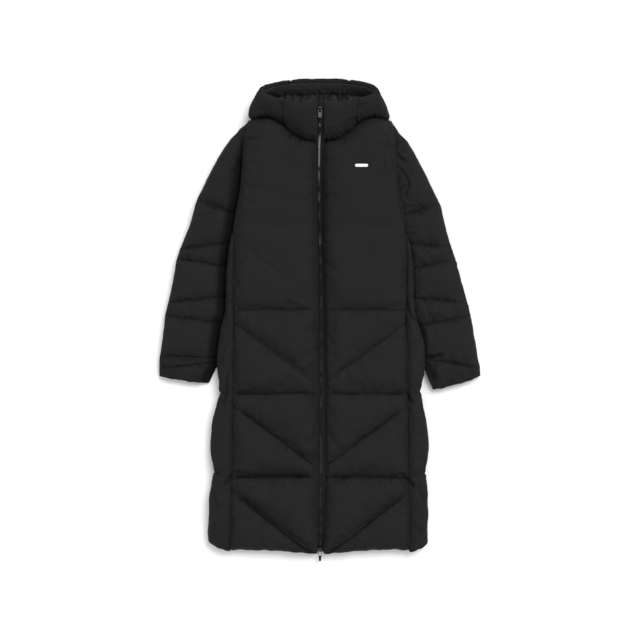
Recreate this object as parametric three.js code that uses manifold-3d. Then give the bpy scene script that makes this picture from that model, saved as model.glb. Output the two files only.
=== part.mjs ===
// Long hooded puffer coat with a two-way zip, closed and lying flat on its back.
// Millimetres. +X is the wearer's left, +Y runs from hem to hood, +Z is up from the surface it lies on.
// Every table is written with Y measured from the coat's waist line; the last lines centre the part.

import * as THREE from "three";
import { mergeVertices } from "three/addons/utils/BufferGeometryUtils.js";
import Module from "manifold-3d";

// Driving dimensions

const SEAM_GAP = 0.4; // clear space between two sewn panels
const ZIP_HALF = 12; // half the width between the two front edges
const BACK_TOP = 27; // inner face of the back panel
const FRONT_BOTTOM = 27.5; // inner face of the front panels
const FRONT_CREST = 64; // top of the fullest front puffs
const SEWN_EDGE = 8; // thickness of a padded panel at its sewn edge
const ARMHOLE_HEIGHT = 47; // height of the seam between front and sleeve
const SIDE_CREST = 60; // top of the side panels' puffs
const FOLD_HEIGHT = 29; // height of the widest line of a folded edge
const SIDE_WRAP = 38; // how far a side panel turns in under the coat
const UNDERARM_Y = 252;
const QUILT_PITCH = 227; // from one level quilting line to the next
const TOP_QUILT_Y = 262;
const HOOD_TOP_Y = 663.5;
const ZIP_TOP_Y = 588;
const ZIP_END_Y = -618;
const POCKET = { top: 140, bottom: -42, open: 2.2 };
const LINING = 2;

// Outline of the front edge of the side seam and armhole, and the silhouette on each side, from the waist.
const SIDE_SEAM = [
  { y: 562, x: 189 },
  { y: 545, x: 190 },
  { y: 494, x: 205 },
  { y: 440, x: 207 },
  { y: 383, x: 212 },
  { y: 325, x: 220 },
  { y: 262, x: 232 },
  { y: 140, x: 234 },
  { y: -40, x: 234 },
  { y: -395, x: 237 },
  { y: -475, x: 241 },
  { y: -617, x: 242 },
];
const SILHOUETTE = [
  { y: 262, left: 233, right: 233 },
  { y: 246, left: 239, right: 240 },
  { y: 216, left: 246, right: 246 },
  { y: 154, left: 255, right: 254 },
  { y: 62, left: 258, right: 257 },
  { y: 22, left: 262, right: 260 },
  { y: 2, left: 269, right: 269 },
  { y: -40, left: 280, right: 275 },
  { y: -65, left: 286, right: 279 },
  { y: -130, left: 284, right: 280 },
  { y: -186, left: 274, right: 274 },
  { y: -225, left: 282, right: 284 },
  { y: -262, left: 290, right: 294 },
  { y: -321, left: 296, right: 298 },
  { y: -365, left: 294, right: 298 },
  { y: -404, left: 286, right: 290 },
  { y: -432, left: 292, right: 296 },
  { y: -470, left: 294, right: 302 },
  { y: -601, left: 294, right: 306 },
];
// Neck seam, where the collar and hood meet the fronts.
const NECK = [
  { x: 0, y: 491 },
  { x: 50, y: 497.5 },
  { x: 78, y: 515 },
  { x: 98, y: 535 },
  { x: 118, y: 550 },
  { x: 139, y: 558 },
  { x: 165, y: 556 },
  { x: 190, y: 547 },
];
const HEM = { centre: -629, seam: -617, corner: -601, width: 302 };

// Depth of each level quilting line, and of the diagonal below it on the wearer's left and right front.
const QUILT = [
  { y: TOP_QUILT_Y, depth: 2, left: 1, right: 3 },
  { y: TOP_QUILT_Y - QUILT_PITCH, depth: 8, left: 10, right: 13 },
  { y: TOP_QUILT_Y - 2 * QUILT_PITCH, depth: 14, left: 11, right: 17 },
  { y: TOP_QUILT_Y - 3 * QUILT_PITCH, depth: 21, left: 18, right: 23 },
];
const DIAGONAL = { outerDrop: 35, innerDrop: 196, lastInnerDrop: 212 };
const REACH = { quilt: 34, zip: 36, side: 30, neck: 34, hem: 42, armhole: 34 };

// Each sleeve from neck to cuff: fold line at the outside, end of the same section at the inside.
// quilted rows are sewn lines; thick is the height of the filled sleeve there.
const SLEEVES = {
  right: [
    { outerX: 199, outerY: 543, innerY: 536, quilted: 0, thick: 38 },
    { outerX: 223, outerY: 522, innerY: 505, quilted: 0, thick: 44 },
    { outerX: 244, outerY: 500, innerY: 468, quilted: 0, thick: 48 },
    { outerX: 278, outerY: 448, innerY: 410, quilted: 0, thick: 52 },
    { outerX: 309, outerY: 391, innerY: 352, quilted: 0, thick: 53 },
    { outerX: 336, outerY: 332, innerY: 294, quilted: 1, thick: 53 },
    { outerX: 358, outerY: 262, innerY: 252, quilted: 0, thick: 53 },
    { outerX: 382, outerY: 199, innerY: 216, quilted: 1, thick: 52 },
    { outerX: 390, outerY: 174, innerY: 150, quilted: 1, thick: 52 },
    { outerX: 400.5, outerY: 113, innerY: 107, quilted: 0, thick: 52 },
    { outerX: 414, outerY: 54, innerY: 71, quilted: 1, thick: 51 },
    { outerX: 422, outerY: 20, innerY: -4, quilted: 1, thick: 50 },
    { outerX: 428, outerY: -38, innerY: -52, quilted: 0, thick: 49 },
    { outerX: 436, outerY: -90, innerY: -98, quilted: 1, thick: 45 },
    { outerX: 438, outerY: -122, innerY: -118, quilted: 1, thick: 41 },
    { outerX: 438, outerY: -142, innerY: -162, innerX: 302, quilted: 0, thick: 30 },
  ],
  left: [
    { outerX: 199, outerY: 543, innerY: 536, quilted: 0, thick: 38 },
    { outerX: 217, outerY: 516, innerY: 505, quilted: 0, thick: 44 },
    { outerX: 237, outerY: 493, innerY: 468, quilted: 0, thick: 48 },
    { outerX: 267, outerY: 444, innerY: 410, quilted: 0, thick: 52 },
    { outerX: 298.5, outerY: 383, innerY: 350, quilted: 0, thick: 53 },
    { outerX: 328, outerY: 321, innerY: 290, quilted: 1, thick: 53 },
    { outerX: 344, outerY: 258, innerY: 250, quilted: 0, thick: 53 },
    { outerX: 357, outerY: 205, innerY: 212, quilted: 1, thick: 52 },
    { outerX: 369, outerY: 170, innerY: 145, quilted: 1, thick: 52 },
    { outerX: 385.5, outerY: 112, innerY: 104, quilted: 0, thick: 52 },
    { outerX: 403, outerY: 53, innerY: 66, quilted: 1, thick: 51 },
    { outerX: 410, outerY: 17, innerY: -9, quilted: 1, thick: 50 },
    { outerX: 421, outerY: -40, innerY: -55, quilted: 0, thick: 49 },
    { outerX: 433, outerY: -100, innerY: -99, quilted: 1, thick: 45 },
    { outerX: 436, outerY: -126, innerY: -122, quilted: 1, thick: 41 },
    { outerX: 437, outerY: -143, innerY: -180, innerX: 307, quilted: 0, thick: 30 },
  ],
};
const SLEEVE = {
  quiltDepth: 12,
  reach: 27,
  clearance: 1.2,
  armholeGap: 1,
  slit: 3,
  slitFrom: 0.13,
  slitTo: 0.86,
  leavesBody: -118,
};

// Collar and hood wall, from the zip (row 0) round to the centre back (last row), wearer's left.
// base is the neck seam, bulge the fullest line, rim the opening's edge, wall the way in through the wall.
const HOOD = [
  { base: [12.4, 491, 30], bulge: [12.4, 502, 64], rim: [12.4, 588, 100], wall: [0, 8, -15] },
  { base: [50, 497.5, 30], bulge: [48, 510, 66], rim: [44.5, 590, 99], wall: [0, 8, -15] },
  { base: [78, 515, 30], bulge: [75, 527, 68], rim: [75, 593, 97], wall: [0, 8, -15] },
  { base: [98, 535, 30], bulge: [97, 546, 68], rim: [102, 597.5, 94], wall: [-1, 8, -15] },
  { base: [118, 550, 30], bulge: [120, 558, 67], rim: [122.5, 602, 91], wall: [-2, 8, -15] },
  { base: [139, 558, 30], bulge: [143, 564, 65], rim: [140.5, 608, 87], wall: [-4, 8, -14] },
  { base: [165, 556, 30], bulge: [171, 561, 60], rim: [155, 615, 82], wall: [-9, 8, -10] },
  { base: [189, 547.5, 28], bulge: [194, 556, 50], rim: [165, 625, 76], wall: [-12, 8, -4] },
  { base: [190, 566, 2], bulge: [192, 580, 34], rim: [164, 635, 71], wall: [-13, -6, 0] },
  { base: [179, 596, 2], bulge: [177, 607, 34], rim: [148, 646, 67], wall: [-8, -11, 3] },
  { base: [152, 611, 2], bulge: [149, 627, 34], rim: [116, 654.5, 64], wall: [-2, -13, 4] },
  { base: [102, 620, 2], bulge: [100, 639, 34], rim: [76, 660.5, 61], wall: [0, -13, 4] },
  { base: [50, 623, 2], bulge: [48, 643, 34], rim: [38, 663, 59], wall: [0, -13, 4] },
  { base: [0, 624, 2], bulge: [0, 644, 34], rim: [0, HOOD_TOP_Y, 58], wall: [0, -13, 4] },
];
const HOOD_SEAMS = { collar: 3, centre: 11 }; // rows of the two seams on each side
const HOOD_LEAN = { from: 105, left: 0.88, right: 1 }; // the hood lies a little narrower on its left
const BACK_NECK = { centre: 497, shoulder: 543, half: 186 };
const CROWN = { half: 150, top: 24, backY: 598, backRise: 12 };

// The zip's own line from hem to collar.
const ZIP_PATH = [
  { y: -630, z: 18 },
  { y: -606, z: 25 },
  { y: -576, z: 31 },
  { y: -540, z: 33 },
  { y: 430, z: 33 },
  { y: 470, z: 36 },
  { y: 500, z: 51 },
  { y: 530, z: 67 },
  { y: 560, z: 80 },
  { y: 600, z: 97 },
];
const TAPE = { thick: 1.6, half: ZIP_HALF - SEAM_GAP };
const SLIDER = { half: 6, length: 14, height: 6, topY: 575, bottomY: -611 };
// Each pull: half width, distance from its bar to the end of its window, of its frame and of its tip.
const PULLS = {
  top: { half: 5, windowEnd: 7.5, frameEnd: 22, tipEnd: 22.5, tipHalf: 2 },
  bottom: { half: 4.4, windowEnd: 24, frameEnd: 27, tipEnd: 36.5, tipHalf: 2.5 },
};
const PULL_THICK = 1.4;
const PULL_BAR = 1.3;
const PULL_DROP = THREE.MathUtils.degToRad(4); // how far a pull's tip hangs towards the tape
const PATCH = { x: 112, y: 425, width: 36, height: 9, thick: 0.8 };

// Small helpers

const wasm = await Module();
wasm.setup();

const clamp = (value, low, high) => Math.min(high, Math.max(low, value));
const mix = (a, b, share) => a + (b - a) * share;

// A smooth curve through a table's rows: column as a function of key.
function curveOf(table, key, column) {
  const rows = [...table].sort((a, b) => a[key] - b[key]);
  const last = rows.length - 1;
  const slope = (i) => {
    const low = rows[Math.max(i - 1, 0)];
    const high = rows[Math.min(i + 1, last)];
    return (high[column] - low[column]) / (high[key] - low[key]);
  };
  return (at) => {
    const where = clamp(at, rows[0][key], rows[last][key]);
    let i = 0;
    while (i < last - 1 && where > rows[i + 1][key]) i += 1;
    const span = rows[i + 1][key] - rows[i][key];
    const t = (where - rows[i][key]) / span;
    const blend = t * t * (3 - 2 * t);
    const bend = t * (1 - t) * span * ((1 - t) * slope(i) - t * slope(i + 1));
    return mix(rows[i][column], rows[i + 1][column], blend) + bend;
  };
}

// How far a puff falls at a distance from a sewn line: a quarter ellipse, deepest on the line.
function dip(distance, depth, reach) {
  const share = 1 - clamp(distance / reach, 0, 1);
  return depth * (1 - Math.sqrt(1 - share * share));
}

// Several dips at once, blended so that none of them leaves a ridge.
const blendDips = (dips) => Math.cbrt(dips.reduce((sum, d) => sum + d ** 3, 0));

function geometryOf(points, faces) {
  const geometry = new THREE.BufferGeometry().setFromPoints(points);
  geometry.setIndex(faces.flat());
  return geometry;
}

// Turns the faces round where they point inwards.
function faceOut(points, faces) {
  let volume = 0;
  for (const [a, b, c] of faces) {
    volume += points[a].dot(new THREE.Vector3().crossVectors(points[b], points[c]));
  }
  return volume < 0 ? faces.map(([a, b, c]) => [a, c, b]) : faces;
}

// Triangles of a closed ring of points, seen along its own best plane.
function capOf(ring, start) {
  const normal = new THREE.Vector3();
  ring.forEach((p, i) => {
    const q = ring[(i + 1) % ring.length];
    normal.x += (p.y - q.y) * (p.z + q.z);
    normal.y += (p.z - q.z) * (p.x + q.x);
    normal.z += (p.x - q.x) * (p.y + q.y);
  });
  normal.normalize();
  const across = new THREE.Vector3(0, 0, 1);
  if (Math.abs(normal.z) > 0.9) across.set(1, 0, 0);
  const u = new THREE.Vector3().crossVectors(across, normal).normalize();
  const v = new THREE.Vector3().crossVectors(normal, u);
  const flat = ring.map((p) => new THREE.Vector2(p.dot(u), p.dot(v)));
  return THREE.ShapeUtils.triangulateShape(flat, []).map((f) => f.map((i) => i + start));
}

// A closed solid through rings of equal length, with both ends capped.
function loft(rings) {
  const size = rings[0].length;
  const points = rings.flat();
  const faces = [];
  for (let j = 0; j < rings.length - 1; j += 1) {
    for (let i = 0; i < size; i += 1) {
      const a = j * size + i;
      const b = j * size + ((i + 1) % size);
      faces.push([a, b, a + size], [b, b + size, a + size]);
    }
  }
  faces.push(...capOf(rings[0], 0).map(([a, b, c]) => [a, c, b]));
  faces.push(...capOf(rings.at(-1), (rings.length - 1) * size));
  return geometryOf(points, faceOut(points, faces));
}

// Triangles between two chains of points, whatever their counts: along the first, back along the second.
function strip(first, second) {
  const faces = [];
  let i = 0;
  let j = 0;
  while (i < first.length - 1 || j < second.length - 1) {
    const nextFirst = (i + 1) / (first.length - 1);
    const nextSecond = (j + 1) / (second.length - 1);
    if (j === second.length - 1 || (i < first.length - 1 && nextFirst <= nextSecond)) {
      faces.push([first[i], first[i + 1], second[j]]);
      i += 1;
    } else {
      faces.push([second[j], first[i], second[j + 1]]);
      j += 1;
    }
  }
  return faces;
}

// A padded panel: its top follows grid[row][column], its inner face is flat at floorZ.
// Away from the curved ends the inner face needs only the outer columns and the middle one.
function panel(grid, floorZ) {
  const lastRow = grid.length - 1;
  const lastColumn = grid[0].length - 1;
  const points = grid.flat();
  const top = grid.map((line, j) => line.map((_, i) => j * line.length + i));
  const under = grid.map((line, j) => {
    const whole = j < 4 || j > lastRow - 4;
    const kept = line.filter((_, i) => whole || i % (lastColumn / 2) === 0);
    return kept.map((p) => points.push(new THREE.Vector3(p.x, p.y, floorZ)) - 1);
  });
  const faces = [];
  for (let j = 0; j < lastRow; j += 1) {
    faces.push(...strip(top[j], top[j + 1]), ...strip(under[j + 1], under[j]));
  }
  const sides = [top, under].map((rows) => [rows.map((row) => row[0]), rows.map((row) => row.at(-1))]);
  faces.push(...strip(under[0], top[0]), ...strip(top[lastRow], under[lastRow]));
  faces.push(...strip(sides[0][0], sides[1][0]), ...strip(sides[1][1], sides[0][1]));
  return geometryOf(points, faceOut(points, faces));
}

function manifoldOf(geometry) {
  const bare = geometry.clone();
  bare.deleteAttribute("normal");
  bare.deleteAttribute("uv");
  const merged = mergeVertices(bare, 1e-3);
  return new wasm.Manifold(
    new wasm.Mesh({
      numProp: 3,
      vertProperties: merged.attributes.position.array,
      triVerts: new Uint32Array(merged.index.array),
    }),
  );
}

function geometryFrom(solid) {
  const mesh = solid.getMesh();
  const geometry = new THREE.BufferGeometry();
  geometry.setAttribute("position", new THREE.BufferAttribute(mesh.vertProperties, 3));
  geometry.setIndex(new THREE.BufferAttribute(mesh.triVerts, 1));
  return geometry;
}

// Materials

const shell = new THREE.MeshStandardMaterial({ color: 0x272727, roughness: 0.62, metalness: 0 });
const lining = new THREE.MeshStandardMaterial({ color: 0x303030, roughness: 0.42, metalness: 0 });
const tapeCloth = new THREE.MeshStandardMaterial({ color: 0x1c1c1c, roughness: 0.7, metalness: 0 });
const gunmetal = new THREE.MeshStandardMaterial({ color: 0x5a5a5c, roughness: 0.3, metalness: 0.9 });
const reflective = new THREE.MeshStandardMaterial({ color: 0xf2f2f2, roughness: 0.45, metalness: 0 });

const coat = new THREE.Group();

function add(name, geometry, material, parent = coat) {
  const mesh = new THREE.Mesh(geometry, material);
  mesh.name = name;
  parent.add(mesh);
  return mesh;
}

// Outlines as functions

const sideSeam = curveOf(SIDE_SEAM, "y", "x");
const silhouette = { left: curveOf(SILHOUETTE, "y", "left"), right: curveOf(SILHOUETTE, "y", "right") };
const neckLine = curveOf(NECK, "x", "y");
const zipHeight = curveOf(ZIP_PATH, "y", "z");
const signOf = { left: 1, right: -1 };

function hemLine(x) {
  const reach = Math.abs(x);
  const seamX = sideSeam(HEM.seam);
  if (reach < seamX) return mix(HEM.centre, HEM.seam, reach / seamX);
  return mix(HEM.seam, HEM.corner, (reach - seamX) / (HEM.width - seamX));
}

function diagonalLine(row, x) {
  const share = (x - ZIP_HALF) / (sideSeam(row.y) - ZIP_HALF);
  const inner = row === QUILT.at(-1) ? DIAGONAL.lastInnerDrop : DIAGONAL.innerDrop;
  return row.y - mix(inner, DIAGONAL.outerDrop, share);
}

// Height of a front panel's outer face at x from the zip, y from the waist.
function frontHeight(side, x, y) {
  const seamX = sideSeam(y);
  const armhole = y > UNDERARM_Y;
  const slope = (DIAGONAL.innerDrop - DIAGONAL.outerDrop) / (seamX - ZIP_HALF);
  const square = Math.hypot(1, slope);
  const full = FRONT_CREST - FRONT_BOTTOM - SEWN_EDGE;
  const dips = [
    dip(x - ZIP_HALF, full, REACH.zip),
    dip(seamX - x, armhole ? FRONT_CREST - ARMHOLE_HEIGHT : full * 0.5, armhole ? REACH.armhole : REACH.side),
    dip(neckLine(x) - y, full, REACH.neck),
    dip(y - hemLine(x), full, REACH.hem),
    ...QUILT.map((row) => dip(Math.abs(y - row.y), row.depth, REACH.quilt)),
    ...QUILT.map((row) => dip(Math.abs(y - diagonalLine(row, x)) / square, row[side], REACH.quilt)),
  ];
  return Math.max(FRONT_CREST - blendDips(dips), FRONT_BOTTOM + SEWN_EDGE - 3);
}

// Fronts: columns run from zip to side seam, rows follow every quilting line.

const FRONT_COLUMNS = [0, 0.04, 0.11, 0.22, 0.35, 0.483, 0.62, 0.75, 0.86, 0.94, 1];

// The point a share of the way from zip to side seam on a line given as y from x.
function frontPoint(share, line) {
  let x = mix(ZIP_HALF, sideSeam(0), share);
  for (let pass = 0; pass < 12; pass += 1) {
    const y = line(x);
    const pocket = y < POCKET.top && y > POCKET.bottom ? POCKET.open : 0;
    x = mix(ZIP_HALF, sideSeam(y) - pocket, share);
  }
  return [x, line(x)];
}

const frontTop = (x) => neckLine(x) - SEAM_GAP;

function frontPanel(side) {
  const lines = [frontTop];
  for (const row of QUILT) {
    lines.push(() => row.y);
    lines.push((x) => Math.max(diagonalLine(row, x), hemLine(x) + 8));
  }
  lines.push(hemLine);
  const bandSteps = [0, 0.1, 0.3, 0.7, 0.9];
  const topSteps = [0, 0.03, 0.08, 0.16, 0.3, 0.45, 0.6, 0.75, 0.9];
  const rows = lines.slice(0, -1).flatMap((line, k) =>
    (k === 0 ? topSteps : bandSteps).map((share) => (x) => mix(line(x), lines[k + 1](x), share)),
  );
  rows.push(hemLine);
  const grid = rows.map((line) =>
    FRONT_COLUMNS.map((share) => {
      const [x, y] = frontPoint(share, line);
      return new THREE.Vector3(signOf[side] * x, y, frontHeight(side, x, y));
    }),
  );
  return panel(grid, FRONT_BOTTOM);
}

// How much a quilted puff falls at y, for panels that only level lines cross.
function levelDip(y, scale) {
  const lines = QUILT.map((row) => dip(Math.abs(y - row.y), row.depth * scale, REACH.quilt));
  return blendDips([...lines, dip(y - HEM.corner, 22, REACH.hem)]);
}

const wrapAt = (y) => SIDE_WRAP * THREE.MathUtils.smoothstep(UNDERARM_Y + 8 - y, 0, 90);

function backEdge(side, y) {
  const turned = silhouette[side](y) - wrapAt(y);
  return y > UNDERARM_Y - 22 ? Math.min(turned, sideSeam(y)) : turned;
}

// Side panel: a padded strip that turns from the front seam round the edge and in under the coat.

function sidePanel(side) {
  const arc = 6;
  const rings = [];
  const stations = backStations(side).filter((y) => y < UNDERARM_Y - 6);
  for (const y of [...stations, UNDERARM_Y - 3]) {
    const edge = silhouette[side](y);
    const seamX = sideSeam(y) + SEAM_GAP;
    const turn = edge - backEdgeBetween(side, y) - SEAM_GAP;
    const crest = SIDE_CREST - levelDip(y, 0.9);
    const radius = Math.min(turn * 0.8, FOLD_HEIGHT);
    const section = [];
    for (let i = 0; i <= arc; i += 1) {
      const angle = (i / arc) * (Math.PI / 2);
      const seamDip = dip((edge - seamX) * Math.sin(angle), (crest - FOLD_HEIGHT) * 0.35, 16);
      const z = FOLD_HEIGHT + (crest - FOLD_HEIGHT) * Math.cos(angle) ** 0.7 - seamDip * Math.cos(angle);
      section.push([seamX + (edge - seamX) * Math.sin(angle) ** 0.9, z]);
    }
    for (let i = 1; i <= arc; i += 1) {
      const angle = (i / arc) * (Math.PI / 2);
      section.push([edge - radius * (1 - Math.cos(angle)), FOLD_HEIGHT * (1 - Math.sin(angle))]);
    }
    const fold = mix(Math.max(seamX, edge - turn), edge, 0.5);
    section.push([edge - turn, 0], [edge - turn, BACK_TOP - 0.6]);
    section.push([fold, BACK_TOP], [seamX, FRONT_BOTTOM + 1]);
    const atHem = THREE.MathUtils.smoothstep(-y, 480, -HEM.seam);
    rings.push(
      section.map(([x, z]) => {
        const outward = clamp((x - edge + turn - 1) / (turn - 1), 0, 1);
        const lift = (hemLine(edge) - HEM.seam) * outward * atHem;
        return new THREE.Vector3(signOf[side] * x, y + lift, z);
      }),
    );
  }
  return loft(rings);
}

// Back panel: a padded slab whose underside rests flat.

function backNeck(x) {
  return mix(BACK_NECK.centre, BACK_NECK.shoulder, clamp(Math.abs(x) / BACK_NECK.half, 0, 1) ** 3);
}

const BACK_ROWS = 46;

// The point a share of the way across the back, -1 to 1, on one of its rows from the hem up.
function backPoint(across, row) {
  const side = across > 0 ? "left" : "right";
  let x = across * BACK_NECK.half;
  let y = 0;
  for (let pass = 0; pass < 12; pass += 1) {
    y = mix(hemLine(x), backNeck(x) - SEAM_GAP, row / BACK_ROWS);
    x = across * backEdge(side, y);
  }
  return [x, y];
}

// Where the back's rows meet its edge, so that the side panel can follow the same points.
function backStations(side) {
  const rows = Array.from({ length: BACK_ROWS + 1 }, (_, row) => row);
  return rows.map((row) => backPoint(signOf[side], row)[1]);
}

// The back's edge at any height, straight between two of its rows.
function backEdgeBetween(side, y) {
  const stations = backStations(side);
  const next = clamp(stations.findIndex((station) => station > y), 1, BACK_ROWS);
  const [low, high] = [stations[next - 1], stations[next]];
  return mix(backEdge(side, low), backEdge(side, high), clamp((y - low) / (high - low), 0, 1));
}

function backPanel() {
  const columns = 10;
  const grid = [];
  for (let j = 0; j <= BACK_ROWS; j += 1) {
    const line = [];
    for (let i = 0; i <= columns; i += 1) {
      const [x, y] = backPoint((i / columns) * 2 - 1, j);
      const fall = blendDips([dip(y - hemLine(x), 17, 46), dip(backNeck(x) - y, 6, 24)]);
      line.push(new THREE.Vector3(x, y, BACK_TOP - fall));
    }
    grid.push(line);
  }
  return panel(grid, 0);
}

// Sleeves: flattened tubes, open along the armhole seam, closed below the underarm, open at the cuff.

function sleeveRows(side) {
  return SLEEVES[side].map((row) => {
    const y = row.innerY;
    const sewnEdge = sideSeam(y) + SLEEVE.armholeGap;
    const edge = y > UNDERARM_Y ? sewnEdge : silhouette[side](y) + SLEEVE.clearance;
    const sewn = THREE.MathUtils.smoothstep(y, UNDERARM_Y - 40, UNDERARM_Y + 8);
    return { ...row, innerX: row.innerX ?? edge, sewn };
  });
}

// The way across a sleeve section, share 0 at the fold line and 1 at the inside.
function acrossSleeve(rows, along, share) {
  const k = Math.min(Math.floor(along), rows.length - 2);
  const t = along - k;
  const point = (row) => [mix(row.outerX, row.innerX, share), mix(row.outerY, row.innerY, share)];
  const [ax, ay] = point(rows[k]);
  const [bx, by] = point(rows[k + 1]);
  return [mix(ax, bx, t), mix(ay, by, t)];
}

function sleeveRing(side, rows, along, last) {
  const k = Math.min(Math.floor(along), rows.length - 2);
  const t = along - k;
  const pick = (column) => mix(rows[k][column], rows[k + 1][column], t);
  const thick = pick("thick");
  const sewn = pick("sewn");
  const middle = thick * 0.45;
  const edgeTop = Math.min((ARMHOLE_HEIGHT - 1 - middle) / (thick - middle), 0.86);
  const quilted = rows.map((row, i) => (row.quilted ? i : -1)).filter((i) => i >= 0);
  const section = [];
  const place = (share, z) => {
    let [x, y] = acrossSleeve(rows, along, share);
    if (share > 0.999 && y > UNDERARM_Y) x = sideSeam(y) + SLEEVE.armholeGap;
    if (share > 0.999 && y <= UNDERARM_Y && y >= SLEEVE.leavesBody) x = silhouette[side](y) + SLEEVE.clearance;
    section.push(new THREE.Vector3(signOf[side] * x, y, z));
  };
  const hump = (share, power) => (1 - Math.abs(2 * share - 1) ** power) ** (1 / power);
  const topSteps = 9;
  for (let i = 0; i <= topSteps; i += 1) {
    const share = (1 - Math.cos((Math.PI * i) / topSteps)) / 2;
    const [x, y] = acrossSleeve(rows, along, share);
    const dips = quilted.map((line) => {
      const [lx, ly] = acrossSleeve(rows, line, share);
      return dip(Math.hypot(lx - x, ly - y), SLEEVE.quiltDepth, SLEEVE.reach);
    });
    const floorShare = share > 0.5 ? edgeTop * sewn : 0;
    const rise = floorShare + (1 - floorShare) * hump(share, 2.5);
    const fallShare = hump(share, 1.5);
    const atCuff = last ? 0.8 : 1;
    place(share, middle + (thick - middle) * rise * atCuff - blendDips(dips) * fallShare);
  }
  const lowSteps = 5;
  for (let i = 0; i <= lowSteps; i += 1) {
    const share = (1 + Math.cos((Math.PI * i) / lowSteps)) / 2;
    const flat = 1 - hump(share, 4);
    const z = middle * 0.9 * (share > 0.5 ? flat * (1 - sewn) : flat);
    if (i < lowSteps) place(share, Math.min(z, middle - 1));
  }
  return section;
}

function sleeve(side) {
  const rows = sleeveRows(side);
  const rings = [];
  const steps = [0, 0.22, 0.5, 0.78];
  for (let k = 0; k < rows.length - 1; k += 1) {
    for (const share of steps) rings.push(sleeveRing(side, rows, k + share, false));
  }
  rings.push(sleeveRing(side, rows, rows.length - 1, true));
  const tube = manifoldOf(loft(rings));
  const hollow = [];
  for (let k = 0; k < rows.length; k += 1) {
    const { thick, sewn } = rows[k];
    const middle = thick * 0.45;
    const to = sewn > 0.5 ? 1.12 : SLEEVE.slitTo;
    const past = k === 0 ? -0.6 : k === rows.length - 1 ? 0.6 : 0;
    const corner = (share, z) => {
      const [x, y] = acrossSleeve(rows, k, share);
      const [bx, by] = acrossSleeve(rows, clamp(k + Math.sign(past || 1), 0, rows.length - 1), share);
      const [ax, ay] = acrossSleeve(rows, clamp(k - Math.sign(past || 1), 0, rows.length - 1), share);
      const outX = past ? (x - ax + (bx - x)) * Math.abs(past) : 0;
      const outY = past ? (y - ay + (by - y)) * Math.abs(past) : 0;
      return new THREE.Vector3(signOf[side] * (x + outX), y + outY, z);
    };
    const low = middle - SLEEVE.slit / 2;
    const high = middle + SLEEVE.slit / 2;
    hollow.push([
      corner(SLEEVE.slitFrom, low),
      corner(to, low),
      corner(to, high),
      corner(SLEEVE.slitFrom, high),
    ]);
  }
  return geometryFrom(tube.subtract(manifoldOf(loft(hollow))));
}

// Collar and hood wall

const asVector = (p) => new THREE.Vector3(...p);
const hoodCurves = Object.fromEntries(
  ["base", "bulge", "rim", "wall"].map((key) => [
    key,
    new THREE.CatmullRomCurve3(HOOD.map((row) => asVector(row[key])), false, "catmullrom", 0.5),
  ]),
);

const hoodRowAt = curveOf(
  HOOD.slice(0, 8).map((row, index) => ({ x: row.base[0], index })),
  "x",
  "index",
);
const neckColumns = FRONT_COLUMNS.map((share) => frontPoint(share, frontTop)[0]);
const collarSeamX = neckColumns[5];

// One upright line on the hood: outer face, way in, at a row number that may lie between two rows.
function hoodLine(row) {
  const share = row / (HOOD.length - 1);
  const [base, bulge, rim, wall] = ["base", "bulge", "rim", "wall"].map((key) =>
    hoodCurves[key].getPoint(share),
  );
  if (row < 7) base.y = neckLine(base.x);
  const outer = new THREE.CatmullRomCurve3([base, bulge, rim]);
  const wallAt = (level) => {
    const drop = THREE.MathUtils.smoothstep(level, 0, 0.4);
    return new THREE.Vector3(wall.x, wall.y, wall.z * drop);
  };
  return {
    outerAt: (level) => outer.getPoint(level),
    innerAt: (level) => outer.getPoint(level).add(wallAt(level)),
    inward: new THREE.Vector3(wall.x, wall.y, 0).normalize(),
  };
}

// A point of the hood on one side, drawn in towards the zip above the neck seam.
function leaning(sign, row, p, height) {
  const loose = Math.max(
    THREE.MathUtils.smoothstep(height, 31, 44),
    THREE.MathUtils.smoothstep(row, 7, 8),
  );
  const share = mix(1, sign > 0 ? HOOD_LEAN.left : HOOD_LEAN.right, loose);
  const x = p.x > HOOD_LEAN.from ? mix(HOOD_LEAN.from, p.x, share) : p.x;
  return new THREE.Vector3(sign * x, p.y, p.z);
}

function hoodSection(sign, row) {
  const line = hoodLine(row);
  const levels = [0, 0.12, 0.25, 0.4, 0.55, 0.7, 0.85, 0.96];
  const rimOut = line.outerAt(1);
  const rimIn = line.innerAt(1);
  const lift = line.outerAt(1).sub(line.outerAt(0.93)).setLength(3);
  const crown = rimOut.clone().lerp(rimIn, 0.5).add(lift);
  const section = [
    ...levels.map((level) => line.outerAt(level)),
    rimOut.clone().lerp(crown, 0.35),
    crown,
    rimIn.clone().lerp(crown, 0.35),
    ...levels.toReversed().map((level) => line.innerAt(level)),
  ];
  return section.map((p) => leaning(sign, row, p, p.z));
}

const collarRows = neckColumns.filter((x) => x < collarSeamX - 1).map((x) => hoodRowAt(x));
const hoodSideRows = neckColumns.filter((x) => x > collarSeamX + 1 && x < 186).map((x) => hoodRowAt(x));

function hoodWall(sign, rows) {
  return loft(rows.map((row) => hoodSection(sign, row)));
}

function hoodCentre() {
  const last = HOOD.length - 1;
  const start = HOOD_SEAMS.centre + 0.005;
  const rings = [];
  for (let j = 0; j <= 6; j += 1) rings.push(hoodSection(1, mix(start, last, j / 6)));
  for (let j = 5; j >= 0; j -= 1) rings.push(hoodSection(-1, mix(start, last, j / 6)));
  return loft(rings);
}

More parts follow.
